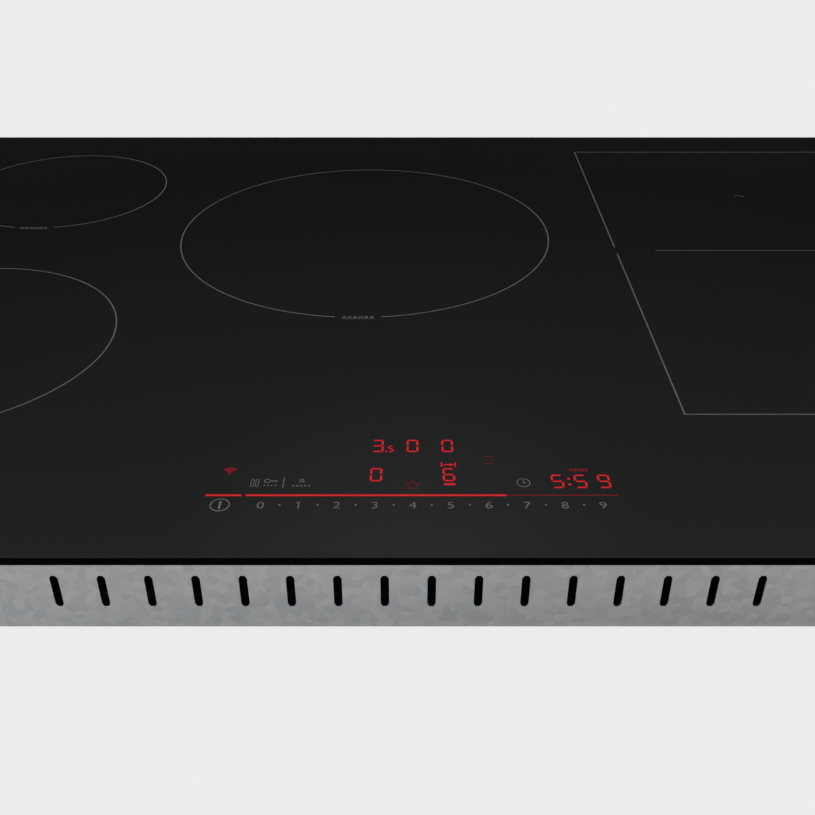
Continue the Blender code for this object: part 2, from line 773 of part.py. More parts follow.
def board_posts(middle, width, depth):
    """Four square posts under a board's corners."""
    posts = []
    for sx in (-1, 1):
        for sy in (-1, 1):
            x = middle[0] + sx * (width / 2 - POST_INSET)
            y = middle[1] + sy * (depth / 2 - POST_INSET)
            low = (x - POST_W / 2, y - POST_W / 2, CARRIER_LOW + CARRIER_T / 2)
            posts.append(block(low, (x + POST_W / 2, y + POST_W / 2, BOARD_LOW - CLEAR)))
    return posts


def board_carrier():
    """Plastic carrier on the casing's floor, with intakes for the blowers and room for the terminals."""
    front = -WALL_INNER_Y + CARRIER_FRONT_GAP
    rear = WALL_INNER_Y - CARRIER_REAR_GAP
    low = (-CARRIER_W / 2, front, CARRIER_LOW)
    carrier = add_piece("board_carrier", block(low, (CARRIER_W / 2, rear, CARRIER_TOP)), "black_plastic")
    posts = board_posts(filter_board_middle(), FILTER_BOARD_W, FILTER_BOARD_D)
    intakes = []
    for sign in SIDES.values():
        posts += board_posts(power_board_middle(sign), POWER_BOARD_W, POWER_BOARD_D)
        outline = circle((sign * FAN_X, FAN_Y), GRILLE_R, ROUND)
        intakes.append(prism(outline, CARRIER_LOW - CARRIER_T, CARRIER_TOP + CARRIER_T))
    join(carrier, gathered(posts))
    cut(carrier, gathered(intakes))
    notch_low = (
        TERMINAL_X - TERMINAL_W / 2 - PLATE_GAP,
        terminal_box_rear() - TERMINAL_D - PLATE_GAP,
        CARRIER_LOW - CARRIER_T,
    )
    notch_high = (TERMINAL_X + TERMINAL_W / 2 + PLATE_GAP, rear + PLATE_GAP, CARRIER_TOP + CARRIER_T)
    cut(carrier, block(notch_low, notch_high))


def board(name, middle, width, depth):
    low = (middle[0] - width / 2, middle[1] - depth / 2, BOARD_LOW)
    high = (middle[0] + width / 2, middle[1] + depth / 2, BOARD_TOP)
    add_piece(name, block(low, high), "circuit_board")


def heat_sink(name, sign):
    """Extruded fins along the air's way from the blower's outlet."""
    root = SINK_LOW + SINK_BASE
    pitch = (SINK_W - FIN_T) / (FIN_COUNT - 1)
    edge = FAN_Y + (FAN_OUTLET_LOW + FAN_OUTLET_HIGH) / 2 - SINK_W / 2
    comb = [(edge, SINK_LOW)]
    for i in range(FIN_COUNT):
        left = edge + i * pitch
        if i:
            comb.append((left, root))
        comb += [(left, SINK_TOP), (left + FIN_T, SINK_TOP)]
        if i < FIN_COUNT - 1:
            comb.append((left + FIN_T, root))
    comb.append((edge + SINK_W, SINK_LOW))
    outer = POWER_BOARD_OUTER - POST_W
    near, far = sorted((sign * (outer - SINK_L), sign * outer))
    add_piece(name, prism(comb, near, far, "X"), "aluminium")


def electronics():
    for side, sign in SIDES.items():
        board(f"power_board_{side}", power_board_middle(sign), POWER_BOARD_W, POWER_BOARD_D)
        heat_sink(f"heat_sink_{side}", sign)
    board("filter_board", filter_board_middle(), FILTER_BOARD_W, FILTER_BOARD_D)


def chamber_outline(sign):
    """The blower's round chamber with its outlet, which opens through the wall nearer the hob's middle."""
    low_angle = math.degrees(math.asin(FAN_OUTLET_LOW / FAN_CAVITY_R))
    high_angle = math.degrees(math.asin(FAN_OUTLET_HIGH / FAN_CAVITY_R))
    wall = -FAN_W / 2 - FAN_WALL
    outline = arc((0, 0), FAN_CAVITY_R, -180 - low_angle, 180 - high_angle, ROUND)
    outline += [(wall, FAN_OUTLET_HIGH), (wall, FAN_OUTLET_LOW)]
    return [(sign * x, y) for x, y in outline]


def fan_housing(name, sign):
    """Blower box with a round chamber, an intake below, an outlet towards the middle, and the axle."""
    at = (sign * FAN_X, FAN_Y, FAN_LOW)
    half = FAN_W / 2
    housing = add_piece(name, block((-half, -half, 0), (half, half, FAN_H)), "black_plastic", at)
    cut(housing, prism(chamber_outline(sign), FAN_WALL, FAN_H - FAN_WALL))
    cut(housing, prism(circle((0, 0), FAN_INTAKE_R, ROUND), -FAN_WALL, 2 * FAN_WALL))
    axle_low = FAN_WALL + ROTOR_HUB_LIFT + AXLE_RECESS
    join(housing, prism(circle((0, 0), AXLE_R, SMALL_ROUND), axle_low, FAN_H - FAN_WALL / 2))


def blade(angle):
    """A swept blade, as an outline about the rotor's axis."""
    middle = []
    for share in (0, 0.5, 1):
        radius = BLADE_INNER_R + (ROTOR_R - BLADE_T - BLADE_INNER_R) * share
        turn = angle + BLADE_SWEEP * share**BLADE_CURL
        middle.append((radius * math.cos(turn), radius * math.sin(turn)))
    return strip_outline(middle, BLADE_T)


def fan_rotor(name, sign):
    """Impeller: a hub on the axle, a disc under the roof, and blades hanging from the disc."""
    at = (sign * FAN_X, FAN_Y, FAN_LOW)
    disc_top = FAN_H - 2 * FAN_WALL - CLEAR
    disc_low = disc_top - ROTOR_DISC_T
    bore = AXLE_R + CLEAR
    hub_low = FAN_WALL + ROTOR_HUB_LIFT
    profile = (
        (bore, hub_low),
        (ROTOR_HUB_R, hub_low),
        (ROTOR_HUB_R, disc_low),
        (ROTOR_R, disc_low),
        (ROTOR_R, disc_top),
        (bore, disc_top),
    )
    rotor = add_piece(name, turned(profile, ROUND), "grey_plastic", at, smooth=True)
    blades = []
    for i in range(BLADE_COUNT):
        outline = blade(2 * math.pi * i / BLADE_COUNT)
        blades.append(prism(outline, FAN_WALL + BLADE_LIFT, disc_low + ROTOR_DISC_T / 2))
    join(rotor, gathered(blades))


def blowers():
    for side, sign in SIDES.items():
        fan_housing(f"fan_housing_{side}", sign)
        fan_rotor(f"fan_rotor_{side}", sign)


def controls():
    """Open plastic housing under the front of the glass, with the touch board and the display in it."""
    front = -WALL_INNER_Y + CLEAR + RAIL_FLANGE + CLEAR
    rear = front + CONTROL_D
    low = (-CONTROL_W / 2, front, PLATE_TOP + CLEAR)
    high = (CONTROL_W / 2, rear, SEAL_TOP - CLEAR)
    display_z = high[2] - DISPLAY_T
    board_z = display_z - CLEAR - BOARD_T
    housing = add_piece("control_housing", block(low, high), "black_plastic")
    inset = Vector((CONTROL_WALL, CONTROL_WALL, CONTROL_WALL))
    inside_high = Vector(high) - inset
    inside_high.z = SEAL_TOP + CONTROL_WALL
    cut(housing, block(Vector(low) + inset, inside_high))
    posts = []
    for sx in (-1, 1):
        for y in (front + POST_INSET, rear - POST_INSET):
            x = sx * (CONTROL_W / 2 - POST_INSET)
            post_low = (x - POST_W / 2, y - POST_W / 2, low[2] + CONTROL_WALL / 2)
            post_high = (x + POST_W / 2, y + POST_W / 2, board_z - CLEAR)
            posts.append(block(post_low, post_high))
    join(housing, gathered(posts))
    edge = CONTROL_WALL + CLEAR
    board_low = (-CONTROL_W / 2 + edge, front + edge, board_z)
    board_high = (CONTROL_W / 2 - edge, rear - edge, board_z + BOARD_T)
    add_piece("control_board", block(board_low, board_high), "circuit_board")
    display_rear = rear - DISPLAY_GAP
    display_low = (DISPLAY_LEFT, display_rear - DISPLAY_D, display_z)
    add_piece("display_block", block(display_low, (DISPLAY_RIGHT, display_rear, high[2])), "light_guide")


def flap_axis():
    """Where the terminal flap turns: along the front edge of the hatch."""
    _, _, front, _ = hatch()
    return (TERMINAL_X, front + CLEAR + BARREL_R, FLAP_LIFT + BARREL_R)


def terminal_box():
    """Box over the mains terminals, open to the hatch below, with ears for the flap's pins."""
    rear = terminal_box_rear()
    low = (TERMINAL_X - TERMINAL_W / 2, rear - TERMINAL_D, CARRIER_LOW)
    high = (TERMINAL_X + TERMINAL_W / 2, rear, CARRIER_LOW + TERMINAL_H)
    box = add_piece("terminal_box", block(low, high), "black_plastic")
    wall = Vector((TERMINAL_WALL, TERMINAL_WALL, -TERMINAL_WALL))
    cut(box, block(Vector(low) + wall, Vector(high) - Vector((TERMINAL_WALL,) * 3)))
    inlet = circle((TERMINAL_X, INLET_Z), INLET_R, 2 * SMALL_ROUND)
    cut(box, prism(inlet, rear - 2 * TERMINAL_WALL, rear + TERMINAL_WALL, "Y"))
    left, right, front, _ = hatch()
    _, axis_y, axis_z = flap_axis()
    ear_low = FLAP_LIFT + CLEAR
    ear_top = axis_z + 2 * BARREL_R
    ear_rear = axis_y + BARREL_R
    in_wall = low[1] + TERMINAL_WALL / 2
    outline = [(front + CLEAR, ear_low), (ear_rear, ear_low), (ear_rear, ear_top)]
    outline += [(in_wall, ear_top), (in_wall, axis_z), (front + CLEAR, axis_z)]
    ears = []
    for near, far in ((left + CLEAR, left + CLEAR + EAR_T), (right - CLEAR - EAR_T, right - CLEAR)):
        ears.append(prism(outline, near, far, "X"))
    join(box, gathered(ears))
    pin = circle((axis_y, axis_z), FLAP_PIN_R + CLEAR, SMALL_ROUND)
    cut(box, prism(pin, left - SHEET, left + EAR_T + SHEET, "X"))
    cut(box, prism(pin, right - EAR_T - SHEET, right + SHEET, "X"))


def terminal_flap():
    """Flap in the hatch, on a barrel with a pin at each end."""
    left, right, _, rear = hatch()
    _, axis_y, axis_z = flap_axis()
    inner = (right - left) / 2 - CLEAR - EAR_T - CLEAR
    outer = (right - left) / 2 - CLEAR
    shoulder = BARREL_R + EAR_T / 2
    reach = rear - CLEAR - axis_y
    outline = [(-inner, 0), (inner, 0), (inner, shoulder), (outer, shoulder), (outer, reach)]
    outline += [(-outer, reach), (-outer, shoulder), (-inner, shoulder)]
    low = FLAP_LIFT - axis_z
    flap = add_piece("terminal_cover", prism(outline, low, low + FLAP_T), "black_plastic", flap_axis())
    join(flap, prism(circle((0, 0), BARREL_R, 2 * SMALL_ROUND), -inner, inner, "X"))
    pin_reach = inner + EAR_T
    join(flap, prism(circle((0, 0), FLAP_PIN_R, SMALL_ROUND), -pin_reach, pin_reach, "X"))


def terminal_block():
    """Five-pole screw block under the roof of the terminal box, its wire holes facing the inlet."""
    top = CARRIER_LOW + TERMINAL_H - TERMINAL_WALL - CLEAR
    front = terminal_box_rear() - TERMINAL_D + TERMINAL_WALL + BLOCK_GAP
    rear = front + BLOCK_D
    low = (TERMINAL_X - BLOCK_W / 2, front, top - BLOCK_H)
    high = (TERMINAL_X + BLOCK_W / 2, rear, top)
    piece = add_piece("terminal_block", block(low, high), "ceramic")
    holes = []
    for i in range(BLOCK_POLES):
        x = TERMINAL_X + (i - (BLOCK_POLES - 1) / 2) * BLOCK_W / BLOCK_POLES
        outline = circle((x, top - BLOCK_H / 2), WIRE_HOLE_R, SMALL_ROUND)
        holes.append(prism(outline, rear - WIRE_HOLE_L, rear + CLEAR, "Y"))
    cut(piece, gathered(holes))


def cable_grommet():
    """Rubber sleeve in the casing's rear wall that the mains lead would pass through."""
    inner = -SHEET - CLEAR
    profile = (
        (INLET_R, inner - GROMMET_FLANGE_T),
        (GROMMET_FLANGE_R, inner - GROMMET_FLANGE_T),
        (GROMMET_FLANGE_R, inner),
        (GROMMET_NECK_R, inner),
        (GROMMET_NECK_R, CLEAR),
        (GROMMET_FLANGE_R, CLEAR),
        (GROMMET_FLANGE_R - GROMMET_FLANGE_T / 2, CLEAR + GROMMET_FLANGE_T),
        (INLET_R + GROMMET_FLANGE_T / 2, CLEAR + GROMMET_FLANGE_T),
        (INLET_R, CLEAR + GROMMET_FLANGE_T / 2),
    )
    shape = turned_to(turned(profile, 2 * SMALL_ROUND), Matrix.Rotation(-math.pi / 2, 4, "X"))
    add_piece("cable_grommet", shape, "rubber", (TERMINAL_X, CASE_D / 2, INLET_Z), smooth=True)


clear_scene()
glass_plate()
foam_seal()
frame_rails()
bottom_tray()
side_clips()
casing_screws()
coil_plate()
coils()
plate_springs()
board_carrier()
electronics()
blowers()
controls()
terminal_box()
terminal_flap()
terminal_block()
cable_grommet()
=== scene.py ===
import math

import bmesh
import bpy
from mathutils import Matrix, Vector


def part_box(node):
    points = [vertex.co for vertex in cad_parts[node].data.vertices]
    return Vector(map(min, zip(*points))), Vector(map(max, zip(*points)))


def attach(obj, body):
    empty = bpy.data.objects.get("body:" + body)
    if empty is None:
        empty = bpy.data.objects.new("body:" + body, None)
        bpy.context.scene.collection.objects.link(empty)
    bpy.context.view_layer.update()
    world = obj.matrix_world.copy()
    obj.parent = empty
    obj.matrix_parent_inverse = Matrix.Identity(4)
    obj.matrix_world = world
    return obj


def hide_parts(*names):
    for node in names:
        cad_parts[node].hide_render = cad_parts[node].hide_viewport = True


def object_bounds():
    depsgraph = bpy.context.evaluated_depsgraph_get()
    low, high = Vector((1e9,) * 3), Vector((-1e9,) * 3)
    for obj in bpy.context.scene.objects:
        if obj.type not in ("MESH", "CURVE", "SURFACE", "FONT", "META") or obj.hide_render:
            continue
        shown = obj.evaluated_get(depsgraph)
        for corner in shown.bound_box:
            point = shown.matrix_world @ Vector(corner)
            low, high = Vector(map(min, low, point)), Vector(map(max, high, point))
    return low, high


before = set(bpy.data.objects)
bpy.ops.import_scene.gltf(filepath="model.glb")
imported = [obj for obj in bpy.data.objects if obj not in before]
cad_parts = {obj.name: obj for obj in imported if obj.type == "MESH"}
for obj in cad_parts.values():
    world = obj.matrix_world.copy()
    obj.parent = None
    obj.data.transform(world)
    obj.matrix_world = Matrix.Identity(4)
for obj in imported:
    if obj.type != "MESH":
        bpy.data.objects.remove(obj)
cad_low, cad_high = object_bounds()


# Casing
# The tub that everything hangs in: zinc-coated steel sheet, punched with intake and exhaust slots,
# with long stiffening beads pressed into its floor and folded up at the sides.

def add_node(tree, kind, **values):
    """A shader node, with the values of its unlinked inputs or else its settings."""
    node = tree.nodes.new("ShaderNode" + kind)
    for name, value in values.items():
        label = name.replace("_", " ").title()
        if label in node.inputs:
            node.inputs[label].default_value = value
        else:
            setattr(node, name, value)
    return node


def new_group(name, inputs, outputs):
    """An empty shader group with its sockets. Returns its tree, its input node and its output node."""
    tree = bpy.data.node_groups.new(name, "ShaderNodeTree")
    for label, kind, value in inputs:
        socket = tree.interface.new_socket(label, in_out="INPUT", socket_type="NodeSocket" + kind)
        socket.default_value = value
    for label, kind in outputs:
        tree.interface.new_socket(label, in_out="OUTPUT", socket_type="NodeSocket" + kind)
    return tree, tree.nodes.new("NodeGroupInput"), tree.nodes.new("NodeGroupOutput")


def place_group(tree, group, **values):
    """A shader group placed in a tree, with the values of its unlinked sockets."""
    node = tree.nodes.new("ShaderNodeGroup")
    node.node_tree = group
    for name, value in values.items():
        node.inputs[name.replace("_", " ").title()].default_value = value
    return node


def mask_of(tree, group, **values):
    """The mask that a placed shader group gives."""
    return place_group(tree, group, **values).outputs["Mask"]


def cloudiness_group():
    """Soft uneven patches over a surface, stretched along an axis where the metal was rolled."""
    sockets = (("Scale", "Float", 20.0), ("Stretch", "Vector", (1.0, 1.0, 1.0)))
    sockets += (("Sharpness", "Float", 0.5),)
    tree, entry, exit_node = new_group("cloudiness", sockets, (("Mask", "Float"),))
    place = add_node(tree, "TexCoord")
    stretch = add_node(tree, "VectorMath", operation="MULTIPLY")
    noise = add_node(tree, "TexNoise", detail=5.0)
    spread = add_node(tree, "MapRange", interpolation_type="SMOOTHSTEP")
    low = add_node(tree, "Math", operation="MULTIPLY")
    low.inputs[1].default_value = 0.45
    high = add_node(tree, "Math", operation="SUBTRACT")
    high.inputs[0].default_value = 1.0
    tree.links.new(place.outputs["Object"], stretch.inputs[0])
    tree.links.new(entry.outputs["Stretch"], stretch.inputs[1])
    tree.links.new(stretch.outputs[0], noise.inputs["Vector"])
    tree.links.new(entry.outputs["Scale"], noise.inputs["Scale"])
    tree.links.new(entry.outputs["Sharpness"], low.inputs[0])
    tree.links.new(low.outputs[0], high.inputs[1])
    tree.links.new(noise.outputs["Fac"], spread.inputs["Value"])
    tree.links.new(low.outputs[0], spread.inputs["From Min"])
    tree.links.new(high.outputs[0], spread.inputs["From Max"])
    tree.links.new(spread.outputs[0], exit_node.inputs["Mask"])
    return tree


def eased_edge_group():
    """The small radius on cut and moulded edges, as a normal, and a mask of where it runs."""
    outputs = (("Normal", "Vector"), ("Mask", "Float"))
    tree, entry, exit_node = new_group("eased_edge", (("Radius", "Float", 0.0003),), outputs)
    rounding = add_node(tree, "Bevel", samples=4)
    facing = add_node(tree, "NewGeometry")
    agreement = add_node(tree, "VectorMath", operation="DOT_PRODUCT")
    mask = add_node(tree, "MapRange", from_min=0.98, from_max=0.75)
    tree.links.new(entry.outputs["Radius"], rounding.inputs["Radius"])
    tree.links.new(rounding.outputs["Normal"], agreement.inputs[0])
    tree.links.new(facing.outputs["Normal"], agreement.inputs[1])
    tree.links.new(agreement.outputs["Value"], mask.inputs["Value"])
    tree.links.new(rounding.outputs["Normal"], exit_node.inputs["Normal"])
    tree.links.new(mask.outputs[0], exit_node.inputs["Mask"])
    return tree


def two_tone(tree, mask, first, second):
    """A colour that goes from the first to the second as the mask rises."""
    blend = add_node(tree, "Mix", data_type="RGBA")
    blend.inputs["A"].default_value = (*first, 1)
    blend.inputs["B"].default_value = (*second, 1)
    tree.links.new(mask, blend.inputs["Factor"])
    return blend.outputs["Result"]


def between(tree, mask, low, high):
    """A value that goes from low to high as the mask rises."""
    span = add_node(tree, "MapRange", to_min=low, to_max=high)
    tree.links.new(mask, span.inputs["Value"])
    return span.outputs[0]


def mix_colours(tree, mask, first, second):
    """A colour that goes from one linked colour to another as the mask rises."""
    blend = add_node(tree, "Mix", data_type="RGBA")
    tree.links.new(first, blend.inputs["A"])
    tree.links.new(second, blend.inputs["B"])
    tree.links.new(mask, blend.inputs["Factor"])
    return blend.outputs["Result"]


FEATHER_REACH = 0.0016  # how far the crystals' outlines stray


def spangle_group():
    """The frost-like crystals of hot-dip zinc, each a little lighter or darker than the next."""
    tree, entry, exit_node = new_group("spangle", (("Scale", "Float", 120.0),), (("Mask", "Float"),))
    place = add_node(tree, "TexCoord")
    feather = add_node(tree, "TexNoise", scale=900.0, detail=3.0)
    shift = add_node(tree, "VectorMath", operation="MULTIPLY_ADD")
    shift.inputs[1].default_value = (FEATHER_REACH,) * 3
    crystals = add_node(tree, "TexVoronoi")
    shade = add_node(tree, "SeparateColor")
    tree.links.new(place.outputs["Object"], feather.inputs["Vector"])
    tree.links.new(feather.outputs["Color"], shift.inputs[0])
    tree.links.new(place.outputs["Object"], shift.inputs[2])
    tree.links.new(shift.outputs[0], crystals.inputs["Vector"])
    tree.links.new(entry.outputs["Scale"], crystals.inputs["Scale"])
    tree.links.new(crystals.outputs["Color"], shade.inputs["Color"])
    tree.links.new(shade.outputs["Red"], exit_node.inputs["Mask"])
    return tree


cloudiness = cloudiness_group()
eased_edge = eased_edge_group()
spangle = spangle_group()


def new_material(name, metallic=0.0):
    """A node-based material. Returns it, its tree and its principled shader."""
    material = bpy.data.materials.new(name)
    material.use_nodes = True
    shader = material.node_tree.nodes["Principled BSDF"]
    shader.inputs["Metallic"].default_value = metallic
    return material, material.node_tree, shader


def finish_surface(tree, shader, colour, mask, rough):
    """Feeds the colour, and a roughness that rises from the first value to the second with the mask."""
    tree.links.new(colour, shader.inputs["Base Color"])
    tree.links.new(between(tree, mask, *rough), shader.inputs["Roughness"])


def raised(tree, shader, height, strength, distance, under=None):
    """Feeds a relief to the shader, laid over another normal if there is one."""
    relief = add_node(tree, "Bump", strength=strength, distance=distance)
    tree.links.new(height, relief.inputs["Height"])
    if under:
        tree.links.new(under, relief.inputs["Normal"])
    tree.links.new(relief.outputs["Normal"], shader.inputs["Normal"])


def clouded(name, pattern, colours, rough, metallic=0.0, edge=0.0):
    """A material in two tones that follow soft clouds, with eased edges where a radius is given."""
    material, tree, shader = new_material(name, metallic)
    mask = mask_of(tree, cloudiness, **pattern)
    finish_surface(tree, shader, two_tone(tree, mask, *colours), mask, rough)
    if edge:
        normal = place_group(tree, eased_edge, radius=edge).outputs["Normal"]
        tree.links.new(normal, shader.inputs["Normal"])
    return material


def zinc_coated_steel():
    material, tree, shader = new_material("zinc_coated_steel", 1.0)
    crystals = mask_of(tree, spangle, scale=240.0)
    clouds = mask_of(tree, cloudiness, scale=9.0, stretch=(0.3, 1.0, 1.0), sharpness=0.6)
    edges = place_group(tree, eased_edge, radius=0.0004)
    fresh = two_tone(tree, crystals, (0.33, 0.345, 0.36), (0.42, 0.435, 0.45))
    dulled = two_tone(tree, crystals, (0.28, 0.29, 0.30), (0.34, 0.35, 0.36))
    finish_surface(tree, shader, mix_colours(tree, clouds, fresh, dulled), clouds, (0.34, 0.5))
    raised(tree, shader, crystals, 0.06, 0.0002, edges.outputs["Normal"])
    return material


def settle(piece, material, body="root", replaces=()):
    """Gives a finished piece its material and the body that it moves with, and hides the nodes that it
    replaces.
    """
    piece.data.materials.clear()
    piece.data.materials.append(material)
    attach(piece, body)
    if replaces:
        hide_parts(*replaces)
    return piece


def drawn(name, shape, smooth_under=35):
    """An object from a drawn shape, its round parts shaded smooth."""
    bmesh.ops.recalc_face_normals(shape, faces=shape.faces)
    mesh = bpy.data.meshes.new(name)
    shape.to_mesh(mesh)
    shape.free()
    mesh.shade_smooth()
    mesh.set_sharp_from_angle(angle=math.radians(smooth_under))
    piece = bpy.data.objects.new(name, mesh)
    bpy.context.scene.collection.objects.link(piece)
    return piece


def flat_prism(shape, outline, low, high):
    """Adds a closed slab with that outline between two heights."""
    corners = [shape.verts.new((x, y, low)) for x, y in outline]
    grown = bmesh.ops.extrude_face_region(shape, geom=[shape.faces.new(corners)])
    moved = [part for part in grown["geom"] if isinstance(part, bmesh.types.BMVert)]
    bmesh.ops.translate(shape, vec=(0, 0, high - low), verts=moved)


def round_ended(centre, length, width, upright=False, steps=8):
    """Outline of a slot with round ends, long side along X, or along Y where it's upright."""
    reach = length / 2 - width / 2
    points = []
    for end, start in ((1, -90), (-1, 90)):
        for i in range(steps + 1):
            angle = math.radians(start + 180 * i / steps)
            points.append((end * reach + width / 2 * math.cos(angle), width / 2 * math.sin(angle)))
    if upright:
        points = [(-y, x) for x, y in points]
    return [(centre[0] + x, centre[1] + y) for x, y in points]


def skin(shape, loops, closed=False):
    """Joins loops of corners with faces: end to end where it's closed, else with both ends shut."""
    pairs = list(zip(loops, loops[1:]))
    if closed:
        pairs.append((loops[-1], loops[0]))
    for loop, following in pairs:
        for i in range(len(loop)):
            j = (i + 1) % len(loop)
            shape.faces.new((loop[i], loop[j], following[j], following[i]))
    if not closed:
        shape.faces.new(loops[0])
        shape.faces.new(loops[-1])


def lofted(shape, levels):
    """Adds a closed body through (outline, height) levels whose outlines have as many points each."""
    skin(shape, [[shape.verts.new((x, y, height)) for x, y in outline] for outline, height in levels])


def carve(piece, cutters):
    """Cuts the drawn shapes out of a piece for good."""
    tool = drawn(piece.name + "_cutter", cutters)
    step = piece.modifiers.new("carve", "BOOLEAN")
    step.operation = "DIFFERENCE"
    step.solver = "EXACT"
    step.object = tool
    graph = bpy.context.evaluated_depsgraph_get()
    carved = bpy.data.meshes.new_from_object(piece.evaluated_get(graph))
    piece.modifiers.clear()
    piece.data = carved
    bpy.data.objects.remove(tool, do_unlink=True)


def copy_of_node(node, name):
    """A free copy of a node's solid, welded, to be worked on further."""
    piece = bpy.data.objects.new(name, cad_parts[node].data.copy())
    bpy.context.scene.collection.objects.link(piece)
    shape = bmesh.new()
    shape.from_mesh(piece.data)
    bmesh.ops.remove_doubles(shape, verts=shape.verts, dist=1e-6)
    shape.to_mesh(piece.data)
    shape.free()
    return piece


BEAD_W = 0.013
BEAD_FLOOR_W = 0.005
BEAD_DEPTH = 0.0006
BEAD_LENGTH = 0.60
BEAD_X = -0.030
BEAD_ROWS = (-0.215, -0.188, 0.112, 0.139)
CROSS_BEAD_LENGTH = 0.22
CROSS_BEAD_Y = -0.038
CROSS_BEAD_PITCH = 0.075
CROSS_BEADS = 5
RIVET_R = 0.0032
RIVET_CROWN_R = 0.7 * RIVET_R
RIVET_T = 0.00035
RIVET_BED = 0.00002  # what stays free between a rivet and the bottom of its seat
RIVET_SEAT_R = 0.0055
RIVET_X = 0.330
RIVET_ROWS = (-0.200, 0.100)


def bead(shape, centre, length, upright=False):
    """A shallow trough with sloped sides, cut into the underside of the floor."""
    slope = BEAD_W - BEAD_FLOOR_W
    wide = round_ended(centre, length + slope, BEAD_W + slope, upright)
    narrow = round_ended(centre, length - BEAD_W + BEAD_FLOOR_W, BEAD_FLOOR_W, upright)
    lofted(shape, [(wide, -BEAD_DEPTH), (narrow, BEAD_DEPTH)])


casing = copy_of_node("bottom_tray", "casing")
beads = bmesh.new()
for y in BEAD_ROWS:
    bead(beads, (BEAD_X, y), BEAD_LENGTH)
for i in range(CROSS_BEADS):
    x = (i - (CROSS_BEADS - 1) / 2) * CROSS_BEAD_PITCH
    bead(beads, (x, CROSS_BEAD_Y), CROSS_BEAD_LENGTH, upright=True)
rivet_seats = [(side * RIVET_X, y) for side in (-1, 1) for y in RIVET_ROWS]
for seat in rivet_seats:
    outline = round_ended(seat, 2 * RIVET_SEAT_R, 2 * RIVET_SEAT_R)
    flat_prism(beads, outline, -BEAD_DEPTH, BEAD_DEPTH)
carve(casing, beads)
casing.data.shade_flat()
zinc = zinc_coated_steel()
settle(casing, zinc, replaces=["bottom_tray"])


# Rivets and rating plate
# Low aluminium rivets hold the plastic carrier from below, each sunk in its own seat. The rating
# plate is a silver foil label stuck on near the terminals. It is left blank.

PLATE_X = 0.085
PLATE_Y = 0.190
PLATE_W = 0.095
PLATE_D = 0.045
PLATE_FOIL = 0.0001


def rolled_aluminium(name, light, dark, stretch):
    """Bare aluminium with fine drawing lines along one axis."""
    lines = {"scale": 60.0, "stretch": stretch, "sharpness": 0.7}
    return clouded(name, lines, (light, dark), (0.28, 0.42), 1.0, 0.0002)


rivets = bmesh.new()
for seat in rivet_seats:
    outline = round_ended(seat, 2 * RIVET_R, 2 * RIVET_R)
    crown = round_ended(seat, 2 * RIVET_CROWN_R, 2 * RIVET_CROWN_R)
    lofted(rivets, [(crown, BEAD_DEPTH - RIVET_T), (outline, BEAD_DEPTH - RIVET_BED)])
rivet_metal = rolled_aluminium("rivet_aluminium", (0.70, 0.71, 0.72), (0.58, 0.59, 0.6), (1.0, 1.0, 1.0))
settle(drawn("carrier_rivets", rivets), rivet_metal)


foil_grain = {"scale": 90.0, "stretch": (0.1, 4.0, 1.0), "sharpness": 0.5}
foil_tones = ((0.62, 0.62, 0.62), (0.55, 0.55, 0.56))
silver_foil = clouded("silver_foil", foil_grain, foil_tones, (0.35, 0.48), 0.8)
foil = bmesh.new()
corners = [(PLATE_X - PLATE_W / 2, PLATE_Y - PLATE_D / 2), (PLATE_X + PLATE_W / 2, PLATE_Y - PLATE_D / 2)]
corners += [(x, y + PLATE_D) for x, y in corners[::-1]]
flat_prism(foil, corners, -PLATE_FOIL, 0.0)
settle(drawn("rating_plate", foil), silver_foil)


# Angle rails
# Extruded aluminium angles bonded under the glass. The casing is screwed to their legs.

def dress(node, material):
    """A CAD node that shows keeps its shape and takes this material."""
    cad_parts[node].data.materials.clear()
    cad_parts[node].data.materials.append(material)


SIDES = ("left", "right")
ENDS = ("front", "rear")
CORNERS = [f"{end}_{side}" for end in ENDS for side in SIDES]
for axis, rails, stretch in (("x", ENDS, (0.03, 8.0, 8.0)), ("y", SIDES, (8.0, 0.03, 8.0))):
    extruded = rolled_aluminium(f"drawn_aluminium_{axis}", (0.66, 0.67, 0.69), (0.54, 0.55, 0.57), stretch)
    for rail in rails:
        dress(f"frame_rail_{rail}", extruded)


# Casing screws
# Pan-head screws with a cross slot, bright zinc-plated, through the casing's wall into the rails.

def bright_steel(name, light, dark, rough, wear):
    """Plated or polished steel: small clouds of dulling, and brighter where the edges are rubbed."""
    material, tree, shader = new_material(name, 1.0)
    clouds = mask_of(tree, cloudiness, scale=220.0, sharpness=0.6)
    edges = place_group(tree, eased_edge, radius=0.0002)
    body = two_tone(tree, clouds, light, dark)
    rubbed = two_tone(tree, clouds, wear, light)
    colour = mix_colours(tree, edges.outputs["Mask"], body, rubbed)
    finish_surface(tree, shader, colour, clouds, (rough, rough + 0.12))
    tree.links.new(edges.outputs["Normal"], shader.inputs["Normal"])
    return material


plated = bright_steel("zinc_plated_screw", (0.66, 0.67, 0.66), (0.55, 0.56, 0.55), 0.22, (0.85, 0.85, 0.86))
for corner in CORNERS:
    dress(f"case_screw_{corner}", plated)


# Side clips
# Leaves of bright spring steel on pins at the casing's sides, which grip the walls of the cut-out.

spring = bright_steel("spring_steel", (0.50, 0.51, 0.53), (0.40, 0.41, 0.43), 0.2, (0.75, 0.76, 0.78))
for corner in CORNERS:
    dress(f"side_clip_{corner}", spring)


# Board carrier and blower housings
# Flame-proof black plastic, injection moulded with a fine spark-eroded texture.

